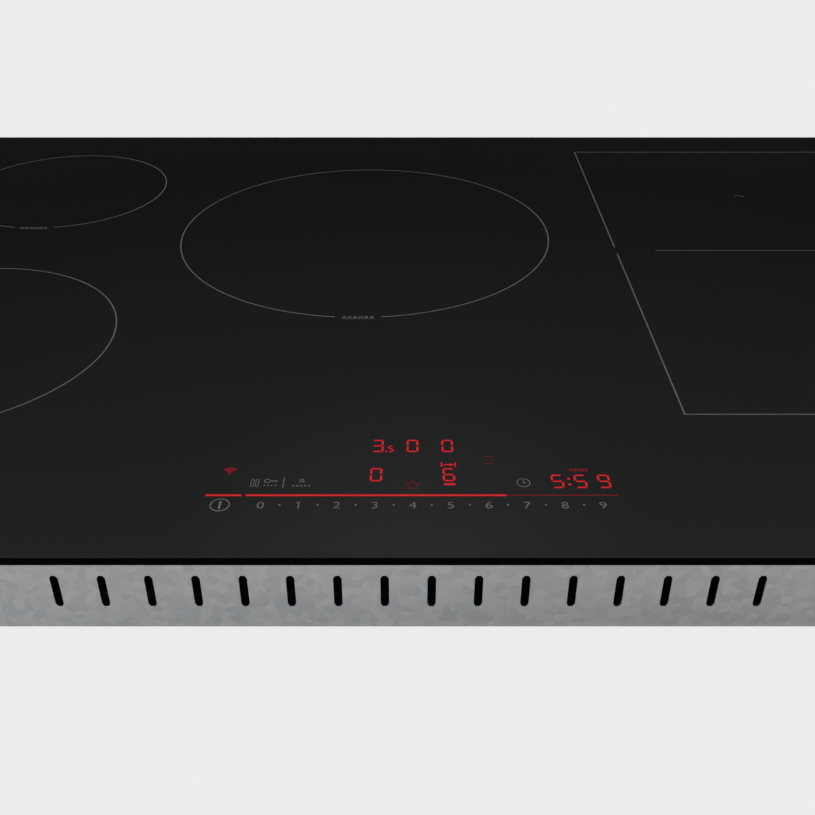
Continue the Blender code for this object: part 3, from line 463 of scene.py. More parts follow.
def moulded_plastic(name, colour, dusty, rough, grain_scale=1400.0):
    """Moulded plastic: a fine grain in the surface, slightly greyer and duller in patches."""
    material, tree, shader = new_material(name)
    clouds = mask_of(tree, cloudiness, scale=30.0, sharpness=0.55)
    grain = place_group(tree, cloudiness, scale=grain_scale, sharpness=0.4)
    edges = place_group(tree, eased_edge, radius=0.0004)
    finish_surface(tree, shader, two_tone(tree, clouds, colour, dusty), clouds, (rough, rough + 0.12))
    raised(tree, shader, grain.outputs["Mask"], 0.25, 0.00006, edges.outputs["Normal"])
    return material


black_moulding = moulded_plastic("black_moulding", (0.018, 0.018, 0.02), (0.035, 0.035, 0.037), 0.42)
for moulding in ("board_carrier", "fan_housing_left", "fan_housing_right"):
    dress(moulding, black_moulding)


# Blower rotors
# One-piece impellers of grey plastic on a hub that holds the motor's magnets.

rotor_plastic = moulded_plastic("rotor_plastic", (0.27, 0.28, 0.29), (0.36, 0.37, 0.38), 0.38)
for side in SIDES:
    dress(f"fan_rotor_{side}", rotor_plastic)


# Circuit boards
# Glass-fibre boards under a green solder mask, with etched copper tracks that show through it as
# paler straight runs.

SHADING = 0.35  # how much the clouds tone the mask down


def solder_masked_board():
    material, tree, shader = new_material("solder_masked_board")
    place = add_node(tree, "TexCoord")
    tracks = add_node(tree, "TexBrick", offset=0.37, squash=0.6, squash_frequency=3, scale=60.0)
    tracks.inputs["Mortar Size"].default_value = 0.03
    clouds = mask_of(tree, cloudiness, scale=40.0, sharpness=0.5)
    tree.links.new(place.outputs["Object"], tracks.inputs["Vector"])
    bare = between(tree, tracks.outputs["Fac"], 1.0, 0.0)
    masked = two_tone(tree, bare, (0.022, 0.16, 0.065), (0.012, 0.11, 0.045))
    shaded = two_tone(tree, clouds, (0.014, 0.12, 0.05), (0.01, 0.09, 0.038))
    colour = mix_colours(tree, between(tree, clouds, 0.0, SHADING), masked, shaded)
    finish_surface(tree, shader, colour, bare, (0.3, 0.42))
    return material


board_finish = solder_masked_board()
for board in ("power_board_left", "power_board_right", "filter_board", "control_board"):
    dress(board, board_finish)


# Capacitors, chokes and relays
# The tall components on the boards: film capacitors potted in grey boxes, aluminium cans with a
# crimped neck and a scored end, ring chokes wound with enamelled wire, and black relay cases.

BOARD_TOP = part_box("power_board_left")[1].z
LEAD_GAP = 0.0005  # components stand this far off the board, on their leads
LEAD_R = 0.0004
SOLDER_R = 0.0012
SOLDER_SINK = 0.0001
LEAD_SPREAD = 0.38  # of a box's width, from its middle to each lead
CAN_LEAD_SPREAD = 0.4  # of a can's radius
BOX_EASE = 0.0010
BOX_CORNER = 0.0015
# x, y, width, depth, height of the boxes and relays; x, y, radius, height of the cans;
# x, y, radius, half the core's thickness of the chokes
FILM_BOXES = ((0.038, -0.140, 0.032, 0.018, 0.0180), (0.076, -0.140, 0.032, 0.018, 0.0180))
FILM_BOXES += ((0.038, -0.060, 0.026, 0.013, 0.0170), (0.038, -0.040, 0.026, 0.013, 0.0170))
CANS = ((0.078, -0.105, 0.0080, 0.0185), (0.078, -0.082, 0.0080, 0.0185))
CANS += tuple((x, y, 0.0050, 0.0125) for x, y in ((0.120, -0.125), (0.135, -0.125), (0.065, 0.035)))
POWER_CHOKE = (0.040, 0.010, 0.0135, 0.0040)
FILTER_CHOKES = ((-0.045, 0.168, 0.0180, 0.0052), (0.010, 0.168, 0.0150, 0.0046))
RELAYS = ((0.056, 0.150, 0.028, 0.0125, 0.0155), (0.056, 0.180, 0.028, 0.0125, 0.0155))
FILTER_BOXES = ((-0.010, 0.143, 0.026, 0.0095, 0.0175), (-0.010, 0.194, 0.026, 0.0095, 0.0175))
WINDING_TURNS = 22
WIRE_R = 0.0007
CHOKE_SEAT = 1.7 * WIRE_R  # the lowest turn rests on the board
WIRE_STEPS = 10  # per turn
CORE_STEPS = 28
WOUND_FROM = 20  # degrees round the ring
WOUND_OVER = 320


def round_cornered(centre, half_w, half_d, corner, inset, steps):
    """Outline of a rectangle with round corners, drawn in by the inset."""
    points = []
    for quarter, (sx, sy) in enumerate(((1, 1), (-1, 1), (-1, -1), (1, -1))):
        for i in range(steps + 1):
            angle = math.radians(90 * quarter + 90 * i / steps)
            x = sx * (half_w - corner) + (corner - inset) * math.cos(angle)
            y = sy * (half_d - corner) + (corner - inset) * math.sin(angle)
            points.append((centre[0] + x, centre[1] + y))
    return points


def turned(shape, x, y, base, profile, steps):
    """Adds a round upright body through (radius, height) rings."""
    angles = [2 * math.pi * i / steps for i in range(steps)]
    levels = []
    for reach, height in profile:
        ring = [(x + reach * math.cos(angle), y + reach * math.sin(angle)) for angle in angles]
        levels.append((ring, base + height))
    lofted(shape, levels)


def two_leads(x, y, reach):
    """Two wires that rise from cones of solder on the board into the component above."""
    profile = [(SOLDER_R, -SOLDER_SINK), (SOLDER_R / 2, LEAD_GAP / 2)]
    profile += [(LEAD_R, LEAD_GAP), (LEAD_R, 3 * LEAD_GAP)]
    for side in (-1, 1):
        turned(leads, x + side * reach, y, BOARD_TOP, profile, 10)


def eased_box(shape, x, y, width, depth, height):
    """A moulded box on its leads: rounded upright corners and a sloped rim round its top."""
    full, drawn_in = [
        round_cornered((x, y), width / 2, depth / 2, BOX_CORNER, inset, 2) for inset in (0.0, BOX_EASE)
    ]
    foot = BOARD_TOP + LEAD_GAP
    levels = [(drawn_in, foot), (full, foot + BOX_EASE / 2)]
    lofted(shape, levels + [(full, foot + height - BOX_EASE), (drawn_in, foot + height)])
    two_leads(x, y, width * LEAD_SPREAD)


def can(shape, x, y, radius, height):
    """A crimped aluminium can on its leads, drawn as rings from its neck to the scored end."""
    crimp = radius * 0.86
    profile = [(crimp, 0.0), (radius, 0.0006), (radius, 0.0016), (crimp, 0.0023), (radius, 0.0030)]
    profile += [(radius, height - 0.0008), (radius - 0.0008, height), (radius * 0.45, height)]
    profile += [(radius * 0.40, height - 0.0003)]
    turned(shape, x, y, BOARD_TOP + LEAD_GAP, profile, 20)
    two_leads(x, y, radius * CAN_LEAD_SPREAD)


def tube(shape, path, radius, sides, closed=False):
    """Adds a round wire along a path: endless where it's closed, else with flat ends."""
    count = len(path)
    loops = []
    across = None
    for i, point in enumerate(path):
        ahead = path[(i + 1) % count] if closed else path[min(i + 1, count - 1)]
        behind = path[i - 1] if closed else path[max(i - 1, 0)]
        along = (ahead - behind).normalized()
        if across is None:
            across = along.cross(Vector((0, 0, 1))).normalized()
        across = (across - along * across.dot(along)).normalized()
        upward = across.cross(along)
        loop = []
        for side in range(sides):
            turn = 2 * math.pi * side / sides
            offset = across * math.cos(turn) + upward * math.sin(turn)
            loop.append(shape.verts.new(point + offset * radius))
        loops.append(loop)
    skin(shape, loops, closed)


def choke(cores, windings, x, y, radius, thick):
    """A ring core that lies flat, and one wire wound round most of it."""
    middle = Vector((x, y, BOARD_TOP + CHOKE_SEAT + thick))
    path = []
    for i in range(CORE_STEPS):
        angle = 2 * math.pi * i / CORE_STEPS
        path.append(middle + Vector((math.cos(angle), math.sin(angle), 0)) * (radius - thick))
    tube(cores, path, thick, 10, closed=True)
    path = []
    steps = WINDING_TURNS * WIRE_STEPS
    loop_r = thick + WIRE_R * 1.15
    for i in range(steps + 1):
        angle = math.radians(WOUND_FROM + WOUND_OVER * i / steps)
        turn = 2 * math.pi * WINDING_TURNS * i / steps
        outwards = Vector((math.cos(angle), math.sin(angle), 0))
        reach = radius - thick + loop_r * math.cos(turn)
        path.append(middle + outwards * reach + Vector((0, 0, loop_r * math.sin(turn))))
    tube(windings, path, WIRE_R, 5)


leads = bmesh.new()
boxes = bmesh.new()
cans = bmesh.new()
cores = bmesh.new()
chokes = bmesh.new()
relays = bmesh.new()
for hand in (-1, 1):
    for x, *sizes in FILM_BOXES:
        eased_box(boxes, hand * x, *sizes)
    for x, *sizes in CANS:
        can(cans, hand * x, *sizes)
    choke(cores, chokes, hand * POWER_CHOKE[0], *POWER_CHOKE[1:])
for sizes in FILTER_BOXES:
    eased_box(boxes, *sizes)
for sizes in RELAYS:
    eased_box(relays, *sizes)
for sizes in FILTER_CHOKES:
    choke(cores, chokes, *sizes)
enamel_tones = ((0.62, 0.20, 0.07), (0.45, 0.13, 0.05))
turns = {"scale": 180.0, "sharpness": 0.5}
enamelled_wire = clouded("enamelled_wire", turns, enamel_tones, (0.2, 0.34), 1.0)
potted = moulded_plastic("potted_box_plastic", (0.20, 0.21, 0.22), (0.26, 0.27, 0.28), 0.4)
can_metal = bright_steel("can_aluminium", (0.62, 0.63, 0.64), (0.52, 0.53, 0.54), 0.25, (0.78, 0.78, 0.79))
core_coating = moulded_plastic("core_coating", (0.03, 0.10, 0.07), (0.04, 0.13, 0.09), 0.45)
settle(drawn("component_leads", leads), can_metal)
settle(drawn("film_capacitors", boxes), potted)
settle(drawn("can_capacitors", cans), can_metal)
settle(drawn("choke_cores", cores), core_coating)
settle(drawn("choke_windings", chokes), enamelled_wire)
settle(drawn("relay_cases", relays), black_moulding)


# Heat sinks
# Extruded aluminium combs, their fins along the blower's stream.

sink_metal = rolled_aluminium("sink_aluminium", (0.60, 0.61, 0.62), (0.46, 0.47, 0.48), (0.05, 6.0, 6.0))
for side in SIDES:
    dress(f"heat_sink_{side}", sink_metal)


# Coil plate and its springs
# A plate of rolled aluminium sheet that carries the coils, pressed up by four steel springs.

plate_metal = rolled_aluminium("plate_aluminium", (0.68, 0.69, 0.7), (0.57, 0.58, 0.6), (0.04, 5.0, 5.0))
dress("coil_plate", plate_metal)
for corner in CORNERS:
    dress(f"plate_spring_{corner}", spring)


# Coil formers
# Wheels of heat-resistant plastic, moulded with a hub for the sensor and spokes under the winding.

ZONES = ("front_left", "rear_left", "centre", "flex_front", "flex_rear")
former_plastic = moulded_plastic("former_plastic", (0.05, 0.05, 0.055), (0.08, 0.08, 0.085), 0.5, 900.0)
for zone in ZONES:
    dress(f"coil_former_{zone}", former_plastic)


# Ferrite bars
# Grey sintered bars lie between the spokes of each former, like the spokes of a second wheel. They
# carry the field back under the winding.

BAR_COUNT = 8
BAR_WIDE = 0.0105
BAR_THICK = 0.0048
BAR_START_R = 0.0275
BAR_END_GAP = 0.006
BAR_LIFT = 0.0003
BAR_EASE = 0.0008
BAR_PROFILE = ((BAR_EASE, 0), (0, BAR_EASE), (0, BAR_THICK - BAR_EASE), (BAR_EASE, BAR_THICK))
FORMER_FLOOR = 0.0015


def fired_ceramic(name, light, dark):
    return clouded(name, {"scale": 160.0, "sharpness": 0.5}, (light, dark), (0.35, 0.5), edge=0.0004)


def ferrite_bars(zone):
    low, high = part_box(f"coil_former_{zone}")
    middle = (low + high) / 2
    reach = min(high.x - low.x, high.y - low.y) / 2 - BAR_END_GAP
    foot = low.z + FORMER_FLOOR + BAR_LIFT
    shape = bmesh.new()
    for i in range(BAR_COUNT):
        angle = 2 * math.pi * i / BAR_COUNT
        along = Vector((math.cos(angle), math.sin(angle)))
        across = Vector((-along.y, along.x))
        levels = []
        for inset, height in BAR_PROFILE:
            near = BAR_START_R + inset
            far = reach - inset
            half = BAR_WIDE / 2 - inset
            outline = []
            for run, side in ((near, -half), (far, -half), (far, half), (near, half)):
                outline.append(tuple(middle.xy + along * run + across * side))
            levels.append((outline, foot + height))
        lofted(shape, levels)
    return drawn(f"ferrite_bars_{zone}", shape, 30)


ferrite = fired_ceramic("sintered_ferrite", (0.075, 0.075, 0.08), (0.05, 0.05, 0.055))
for zone in ZONES:
    settle(ferrite_bars(zone), ferrite)


# Coil windings
# Each is one length of stranded copper wire, wound outwards from the eye in a flat spiral.

WIRE_PITCH = 0.0041
WIRE_SIDES = 8
STEPS_PER_TURN = 56
COIL_EYE_R = 0.026
FLEX_CORNER = 0.060
WIRE_FILL = 0.98  # of the room between turns


def edge_distance(angle, half_w, half_d, corner):
    """How far a rounded rectangle's edge is from its middle, in one direction."""
    along = Vector((abs(math.cos(angle)), abs(math.sin(angle))))
    near, far = 0.0, half_w + half_d
    for _ in range(24):
        middle = (near + far) / 2
        reach = along * middle - Vector((half_w - corner, half_d - corner))
        beyond = Vector((max(reach.x, 0), max(reach.y, 0))).length
        if beyond + min(max(reach.x, reach.y), 0) < corner:
            near = middle
        else:
            far = middle
    return near


def spiral_winding(zone):
    low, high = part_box(f"coil_winding_{zone}")
    middle = (low + high) / 2
    half_w = (high.x - low.x) / 2
    half_d = (high.y - low.y) / 2
    corner = FLEX_CORNER if zone.startswith("flex") else half_w
    radius = (high.z - low.z) / 2
    turns = (min(half_w, half_d) - COIL_EYE_R - 2 * radius) / WIRE_PITCH
    steps = int(turns * STEPS_PER_TURN)
    path = []
    for i in range(steps + 1):
        angle = 2 * math.pi * i / STEPS_PER_TURN
        share = i / steps
        edge = edge_distance(angle, half_w, half_d, corner) - radius
        reach = (COIL_EYE_R + radius) * (1 - share) + edge * share
        path.append(middle + Vector((math.cos(angle), math.sin(angle), 0)) * reach)
    shape = bmesh.new()
    tube(shape, path, radius * WIRE_FILL, WIRE_SIDES)
    return drawn(f"winding_{zone}", shape, 60)


def stranded_copper():
    material, tree, shader = new_material("stranded_copper", 1.0)
    strands = mask_of(tree, cloudiness, scale=1500.0, sharpness=0.6)
    clouds = mask_of(tree, cloudiness, scale=60.0, sharpness=0.5)
    bright = two_tone(tree, strands, (0.80, 0.36, 0.16), (0.55, 0.21, 0.09))
    browned = two_tone(tree, strands, (0.60, 0.25, 0.11), (0.42, 0.16, 0.07))
    finish_surface(tree, shader, mix_colours(tree, clouds, bright, browned), strands, (0.3, 0.5))
    raised(tree, shader, strands, 0.5, 0.0002)
    return material


copper = stranded_copper()
for zone in ZONES:
    settle(spiral_winding(zone), copper, replaces=[f"coil_winding_{zone}"])


# Mica sheets and glass temperature sensors
# Pressed mica over each winding, flaky and beige, with a white ceramic bead through its middle.

def pressed_mica():
    material, tree, shader = new_material("pressed_mica")
    flakes = mask_of(tree, spangle, scale=420.0)
    clouds = mask_of(tree, cloudiness, scale=25.0, sharpness=0.5)
    light = two_tone(tree, flakes, (0.66, 0.60, 0.48), (0.55, 0.49, 0.38))
    dark = two_tone(tree, flakes, (0.57, 0.51, 0.40), (0.47, 0.41, 0.32))
    finish_surface(tree, shader, mix_colours(tree, clouds, light, dark), flakes, (0.32, 0.6))
    return material


mica = pressed_mica()
bead_ceramic = fired_ceramic("bead_ceramic", (0.85, 0.84, 0.8), (0.78, 0.76, 0.7))
for zone in ZONES:
    dress(f"mica_sheet_{zone}", mica)
    dress(f"heat_sensor_{zone}", bead_ceramic)


# Control housing and display block
# A black plastic tray under the front of the glass. The display block is white plastic with clear
# light guides that carry each lamp's light up to the glass.

dress("control_housing", black_moulding)
dress("display_block", moulded_plastic("display_plastic", (0.78, 0.78, 0.76), (0.7, 0.7, 0.68), 0.3))


# Terminal box, block and cover
# A black plastic box over the mains terminals, with a flap below it that swings down on two pins.
# Finger ribs are moulded into the flap near its free edge.

FLAP_RIB_L = 0.026
FLAP_RIB_W = 0.0016
FLAP_RIB_DEPTH = 0.0007
FLAP_RIBS = 5
FLAP_RIB_INSET = 0.006

dress("terminal_box", black_moulding)
dress("terminal_block", fired_ceramic("terminal_ceramic", (0.82, 0.81, 0.78), (0.74, 0.73, 0.7)))
flap = copy_of_node("terminal_cover", "terminal_flap")
flap_low, flap_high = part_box("terminal_cover")
ribs = bmesh.new()
for i in range(FLAP_RIBS):
    middle = ((flap_low.x + flap_high.x) / 2, flap_high.y - FLAP_RIB_INSET - 2 * FLAP_RIB_W * i)
    outline = round_ended(middle, FLAP_RIB_L, FLAP_RIB_W, steps=4)
    flat_prism(ribs, outline, flap_low.z - FLAP_RIB_DEPTH, flap_low.z + FLAP_RIB_DEPTH)
carve(flap, ribs)
settle(flap, black_moulding, "terminal_cover", ["terminal_cover"])


# Cable grommet
# A soft black rubber sleeve in the rear wall, where the mains lead would come in.

grommet_rubber = moulded_plastic("grommet_rubber", (0.02, 0.02, 0.02), (0.04, 0.039, 0.038), 0.7, 700.0)
dress("cable_grommet", grommet_rubber)


# Foam seal
# Strips of black closed-cell foam stuck under the rim of the glass, pressed flat by its weight.

def closed_cell_foam():
    material, tree, shader = new_material("closed_cell_foam")
    cells = mask_of(tree, spangle, scale=1600.0)
    colour = two_tone(tree, cells, (0.022, 0.022, 0.023), (0.045, 0.045, 0.046))
    tree.links.new(colour, shader.inputs["Base Color"])
    raised(tree, shader, cells, 0.5, 0.0002)
    shader.inputs["Roughness"].default_value = 0.9
    return material


foam = closed_cell_foam()
for strip in ENDS + SIDES:
    dress(f"seal_{strip}", foam)


# Glass plate
# Four millimetres of black glass-ceramic, fire-polished on top. Its edge is ground: a soft radius
# above, a small arris below. Its underside is matt. The ground faces, and the lower half of the top
# radius with them, are painted near black with almost no gloss: painted shade, so that the band
# under the front edge shows dark as if in shadow.

GLASS_CORNER = 0.005
CORNER_STEPS = 12
TOP_RADIUS = 0.0009
TOP_RADIUS_STEPS = 5
ARRIS = 0.0003
FLAT_RING = 0.0002  # keeps the shading of the flat faces clear of the rounded edge
GROUND_AND_SHADE_BELOW = 0.8  # faces that look up less than this take the dark ground finish; set so high that it reaches the lower half of the top radius, a painted shade that hides a lamp's highlight there


def glass_plate():
    low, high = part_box("glass_top")
    levels = [(ARRIS + FLAT_RING, low.z), (ARRIS, low.z), (0.0, low.z + ARRIS)]
    for i in range(TOP_RADIUS_STEPS + 1):
        angle = math.pi / 2 * i / TOP_RADIUS_STEPS
        inset = TOP_RADIUS * (1 - math.cos(angle))
        levels.append((inset, high.z - TOP_RADIUS * (1 - math.sin(angle))))
    levels.append((TOP_RADIUS + FLAT_RING, high.z))
    shape = bmesh.new()
    corner = (high.x, high.y, GLASS_CORNER)
    rings = [round_cornered((0, 0), *corner, inset, CORNER_STEPS) for inset, _ in levels]
    lofted(shape, [(ring, height) for ring, (_, height) in zip(rings, levels)])
    return drawn("glass_plate", shape, 30)


wiped = {"scale": 4.0, "stretch": (0.6, 1.0, 1.0), "sharpness": 0.6}
glass_tones = ((0.0034, 0.0034, 0.0034), (0.0038, 0.0038, 0.0038))
glass = clouded("black_glass_ceramic", wiped, glass_tones, (0.055, 0.085))
glass.node_tree.nodes["Principled BSDF"].inputs["IOR"].default_value = 1.5
wheel_marks = {"scale": 300.0, "stretch": (0.1, 0.1, 6.0), "sharpness": 0.5}
# The ground edge's near-black colour and very low gloss are painted shade: they keep the band under the
# front edge dark as if in shadow.
ground_edge_shade_tones = ((0.0004, 0.0004, 0.0004), (0.0009, 0.0009, 0.0009))
shaded_ground_edge = clouded("ground_glass_edge_painted_shade", wheel_marks, ground_edge_shade_tones, (0.4, 0.55))
shaded_ground_edge.node_tree.nodes["Principled BSDF"].inputs["Specular IOR Level"].default_value = 0.02
plate = settle(glass_plate(), glass, replaces=["glass_top"])
plate.data.materials.append(shaded_ground_edge)
# Faces below the threshold take the ground finish with its painted shade.
for face in plate.data.polygons:
    face.material_index = int(face.normal.z < GROUND_AND_SHADE_BELOW)


# Zone prints
# Hair lines of grey enamel fired on the glass: a broken ring around each round zone with a small
# coil mark in its gap, and a long rectangle with a halfway line around the flex zone.

glass_low, glass_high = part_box("glass_top")
GLASS_FRONT = glass_low.y
PRINT_T = 0.00004
ZONE_LINE_W = 0.00075
RING_GAP = 0.0262
RING_STEP = math.radians(1.5)
COIL_MARK_W = 0.0215
COIL_MARK_H = 0.0034
COIL_MARK_LINE = 0.0005
COIL_MARK_LOOPS = 6
COIL_MARK_STEPS = 14  # per loop
ROUND_ZONES = {
    "front_left": (-0.2500, 0.1760, 0.180),
    "rear_left": (-0.2500, 0.4018, 0.145),
    "centre": (-0.0282, 0.3217, 0.240),
}
FLEX_X = 0.2370
FLEX_W = 0.2095
FLEX_FRONT = 0.1028
FLEX_L = 0.3800
FLEX_BREAK = 0.0100
FLEX_HALFWAY_L = 0.1592
FLEX_HALFWAY_LINE_W = 0.0005
PAN_MARK_W = 0.0062
PAN_MARK_H = 0.0032
PAN_MARK_STEPS = 12


def ribbon(shape, points, width, closed=False):
    """Adds a flat printed line on the glass, along (x, y from its front edge) points."""
    run = [Vector(point) for point in points]
    count = len(run)
    rails = []
    for i, point in enumerate(run):
        before = run[i] - run[i - 1] if closed or i else run[i + 1] - run[i]
        after = run[(i + 1) % count] - run[i] if closed or i + 1 < count else before
        along = (before.normalized() + after.normalized()).normalized()
        across = Vector((-along.y, along.x)) * width / 2 / max(0.5, along.dot(after.normalized()))
        corners = []
        for edge, height in ((across, 0), (across, PRINT_T), (-across, PRINT_T), (-across, 0)):
            place = point + edge
            corners.append(shape.verts.new((place.x, GLASS_FRONT + place.y, glass_high.z + height)))
        rails.append(corners)
    skin(shape, rails, closed)


def arc_points(centre, radius, start, end, step=RING_STEP):
    """Points along an arc between two angles, both ends included."""
    count = max(3, int(abs(end - start) / step))
    points = []
    for i in range(count + 1):
        angle = start + (end - start) * i / count
        points.append((centre[0] + radius * math.cos(angle), centre[1] + radius * math.sin(angle)))
    return points


def coil_mark(shape, centre):
    """A row of small loops, the common sign for an induction coil."""
    points = []
    steps = COIL_MARK_STEPS * COIL_MARK_LOOPS
    loop_r = COIL_MARK_H / 2 - COIL_MARK_LINE / 2
    run = COIL_MARK_W - 2 * loop_r
    for i in range(steps + 1):
        turn = 2 * math.pi * COIL_MARK_LOOPS * i / steps - math.pi / 2
        x = centre[0] - run / 2 + run * i / steps + loop_r * math.cos(turn)
        points.append((x, centre[1] + loop_r * math.sin(turn)))
    ribbon(shape, points, COIL_MARK_LINE)


def fired_enamel(name, light, dark):
    """Enamel print, its grey slightly uneven where the screen laid it thinner."""
    material, tree, shader = new_material(name)
    thin = place_group(tree, cloudiness, scale=260.0, sharpness=0.4)
    tree.links.new(two_tone(tree, thin.outputs["Mask"], light, dark), shader.inputs["Base Color"])
    shader.inputs["Roughness"].default_value = 0.45
    return material


prints = bmesh.new()
for x, y, diameter in ROUND_ZONES.values():
    half_gap = RING_GAP / 2 / (diameter / 2)
    start = -math.pi / 2 + half_gap
    ring = arc_points((x, y), diameter / 2, start, start + 2 * (math.pi - half_gap))
    ribbon(prints, ring, ZONE_LINE_W)
    coil_mark(prints, (x, y - diameter / 2))
flex_left = FLEX_X - FLEX_W / 2
flex_right = FLEX_X + FLEX_W / 2
flex_middle = FLEX_FRONT + FLEX_L / 2
front_half = [
    (flex_left, flex_middle - FLEX_BREAK / 2),
    (flex_left, FLEX_FRONT),
    (flex_right, FLEX_FRONT),
    (flex_right, flex_middle - FLEX_BREAK / 2),
]
rear_half = [(x, 2 * flex_middle - y) for x, y in front_half]
for half in (front_half, rear_half):
    ribbon(prints, half, ZONE_LINE_W)
halfway = [(FLEX_X - FLEX_HALFWAY_L / 2, flex_middle), (FLEX_X + FLEX_HALFWAY_L / 2, flex_middle)]
ribbon(prints, halfway, FLEX_HALFWAY_LINE_W)
for y in (flex_middle - FLEX_L / 4, flex_middle + FLEX_L / 4):
    wave = []
    for i in range(PAN_MARK_STEPS + 1):
        share = i / PAN_MARK_STEPS
        rise = PAN_MARK_H / 2 * math.sin(2 * math.pi * share) * math.exp(-2 * (share - 0.5) ** 2)
        wave.append((FLEX_X + PAN_MARK_W * (share - 0.5), y + rise))
    ribbon(prints, wave, FLEX_HALFWAY_LINE_W)
zone_enamel = fired_enamel("zone_enamel", (0.085, 0.085, 0.085), (0.06, 0.06, 0.06))
settle(drawn("zone_print", prints), zone_enamel)


# Panel prints
# The same enamel, finer: the power sign, the numbers and dots under the slider, and the small signs
# for pause, lock, boost and timer.

SLIDER_Y = 0.0400
NUMBER_Y = 0.0334
NUMBER_H = 0.0046
FIRST_NUMBER_X = -0.0621
NUMBER_PITCH = 0.0160
LAST_NUMBER = 9
CAPS_SHARE = 0.73  # a number's height against the face's size
WIDENED = 1.12
THINNED = 0.012  # of the height, taken off each stroke
DOT_W = 0.0010
POWER_X = -0.0792
POWER_R = 0.0040
POWER_BAR_W = 0.0009
POWER_BAR_H = 0.0052
PAUSE_X = -0.0664
PAUSE_Y = 0.0486
PAUSE_PITCH = 0.0020
PAUSE_BAR = (0.0052, 0.0012)
LOCK_X = -0.0597
LOCK_Y = 0.0500
LOCK_BOW_R = 0.0012
LOCK_BOW_GAP = 0.3  # radians each side of the shank
LOCK_SHANK = (-0.0002, 0.0030)
DIVIDER_X = -0.0540
DIVIDER = (0.0452, 0.0527)
BOOST_X = -0.0461
BOOST_ARROW = (0.0012, 0.0011)
CLOCK_X = 0.0499
CLOCK_Y = 0.0488
CLOCK_R = 0.0028
CLOCK_HANDS = ((0.0, 0.0016), (0.0, 0.0), (0.0013, -0.0003))
FLAG_FOOT = (-0.0011, -0.0012)
FLAG_TIP = (-0.0003, -0.0004)
FINE = 0.0003
MEDIUM = 0.0004
BOLD = 0.0005
# x and y of the first dot, pitch, number and radius, for the rows under the lock and the boost sign
DOT_ROWS = ((LOCK_X - 0.0024, LOCK_Y - 0.0031, 0.0016, 4, 0.0004),)
DOT_ROWS += ((BOOST_X - 0.0034, LOCK_Y - 0.0034, 0.0017, 5, 0.0005),)


def printed(shape, outline):
    """Adds a flat printed patch on the glass, its outline in x and y from the front edge."""
    flat_prism(shape, [(x, GLASS_FRONT + y) for x, y in outline], glass_high.z, glass_high.z + PRINT_T)


def disc(shape, centre, radius, steps=16):
    printed(shape, arc_points(centre, radius, 0, 2 * math.pi, 2 * math.pi / steps)[:-1])


def circle(centre, radius, step):
    return arc_points(centre, radius, 0, 2 * math.pi, step)[:-1]


signs = bmesh.new()
ribbon(signs, circle((POWER_X, NUMBER_Y), POWER_R, 0.12), BOLD, True)
ribbon(signs, [(POWER_X, NUMBER_Y + side * POWER_BAR_H / 2) for side in (-1, 1)], POWER_BAR_W)
for i in range(LAST_NUMBER):
    disc(signs, (FIRST_NUMBER_X + (i + 0.5) * NUMBER_PITCH, NUMBER_Y), DOT_W / 2)
for side in (-1, 1):
    bar = round_ended((PAUSE_X + side * PAUSE_PITCH / 2, PAUSE_Y), *PAUSE_BAR, upright=True, steps=4)
    ribbon(signs, bar, FINE, True)
bow = (LOCK_X - 0.0014, LOCK_Y)
ribbon(signs, arc_points(bow, LOCK_BOW_R, LOCK_BOW_GAP, 2 * math.pi - LOCK_BOW_GAP, 0.3), MEDIUM)
for offset in (-0.00035, 0.00035):
    ribbon(signs, [(LOCK_X + run, LOCK_Y + offset) for run in LOCK_SHANK], FINE)
for x, y, pitch, count, radius in DOT_ROWS:
    for i in range(count):
        disc(signs, (x + pitch * i, y), radius, 8)
ribbon(signs, [(DIVIDER_X, y) for y in DIVIDER], MEDIUM)
for lift in (-0.0010, 0.0003):
    y = LOCK_Y + lift
    reach, rise = BOOST_ARROW
    ribbon(signs, [(BOOST_X - reach, y), (BOOST_X, y + rise), (BOOST_X + reach, y)], MEDIUM)
ribbon(signs, circle((CLOCK_X, CLOCK_Y), CLOCK_R, 0.15), MEDIUM, True)
ribbon(signs, [(CLOCK_X + x, CLOCK_Y + y) for x, y in CLOCK_HANDS], MEDIUM)
one_top = (FIRST_NUMBER_X + NUMBER_PITCH, NUMBER_Y + NUMBER_H / 2)
ribbon(signs, [(one_top[0] + x, one_top[1] + y) for x, y in (FLAG_FOOT, FLAG_TIP)], BOLD)
panel_enamel = fired_enamel("panel_enamel", (0.10, 0.10, 0.10), (0.075, 0.075, 0.075))
settle(drawn("panel_signs", signs), panel_enamel)


def printed_number(value, x):
    """One number of the slider's scale, set in a plain light face and printed as a thin slab."""
    text = bpy.data.curves.new(f"scale_number_{value}", "FONT")
    text.body = str(value)
    text.size = NUMBER_H / CAPS_SHARE
    text.align_x = "CENTER"
    text.extrude = PRINT_T / 2
    text.offset = -NUMBER_H * THINNED
    lettered = bpy.data.objects.new("lettered", text)
    bpy.context.scene.collection.objects.link(lettered)
    graph = bpy.context.evaluated_depsgraph_get()
    mesh = bpy.data.meshes.new_from_object(lettered.evaluated_get(graph))
    bpy.data.objects.remove(lettered, do_unlink=True)
    widened = Matrix.Diagonal((WIDENED, 1, 1, 1))
    base = Vector((x, GLASS_FRONT + NUMBER_Y - NUMBER_H / 2, glass_high.z + PRINT_T / 2))
    mesh.transform(Matrix.Translation(base) @ widened)
    piece = bpy.data.objects.new(f"scale_number_{value}", mesh)
    bpy.context.scene.collection.objects.link(piece)
    return piece


for value in range(LAST_NUMBER + 1):
    number = printed_number(value, FIRST_NUMBER_X + NUMBER_PITCH * value)
    settle(number, panel_enamel)


# Lit digits and bars
# Red lamps under the glass shine up through light guides shaped as bars and seven-part digits.
# They show as flat glowing shapes in the glass.

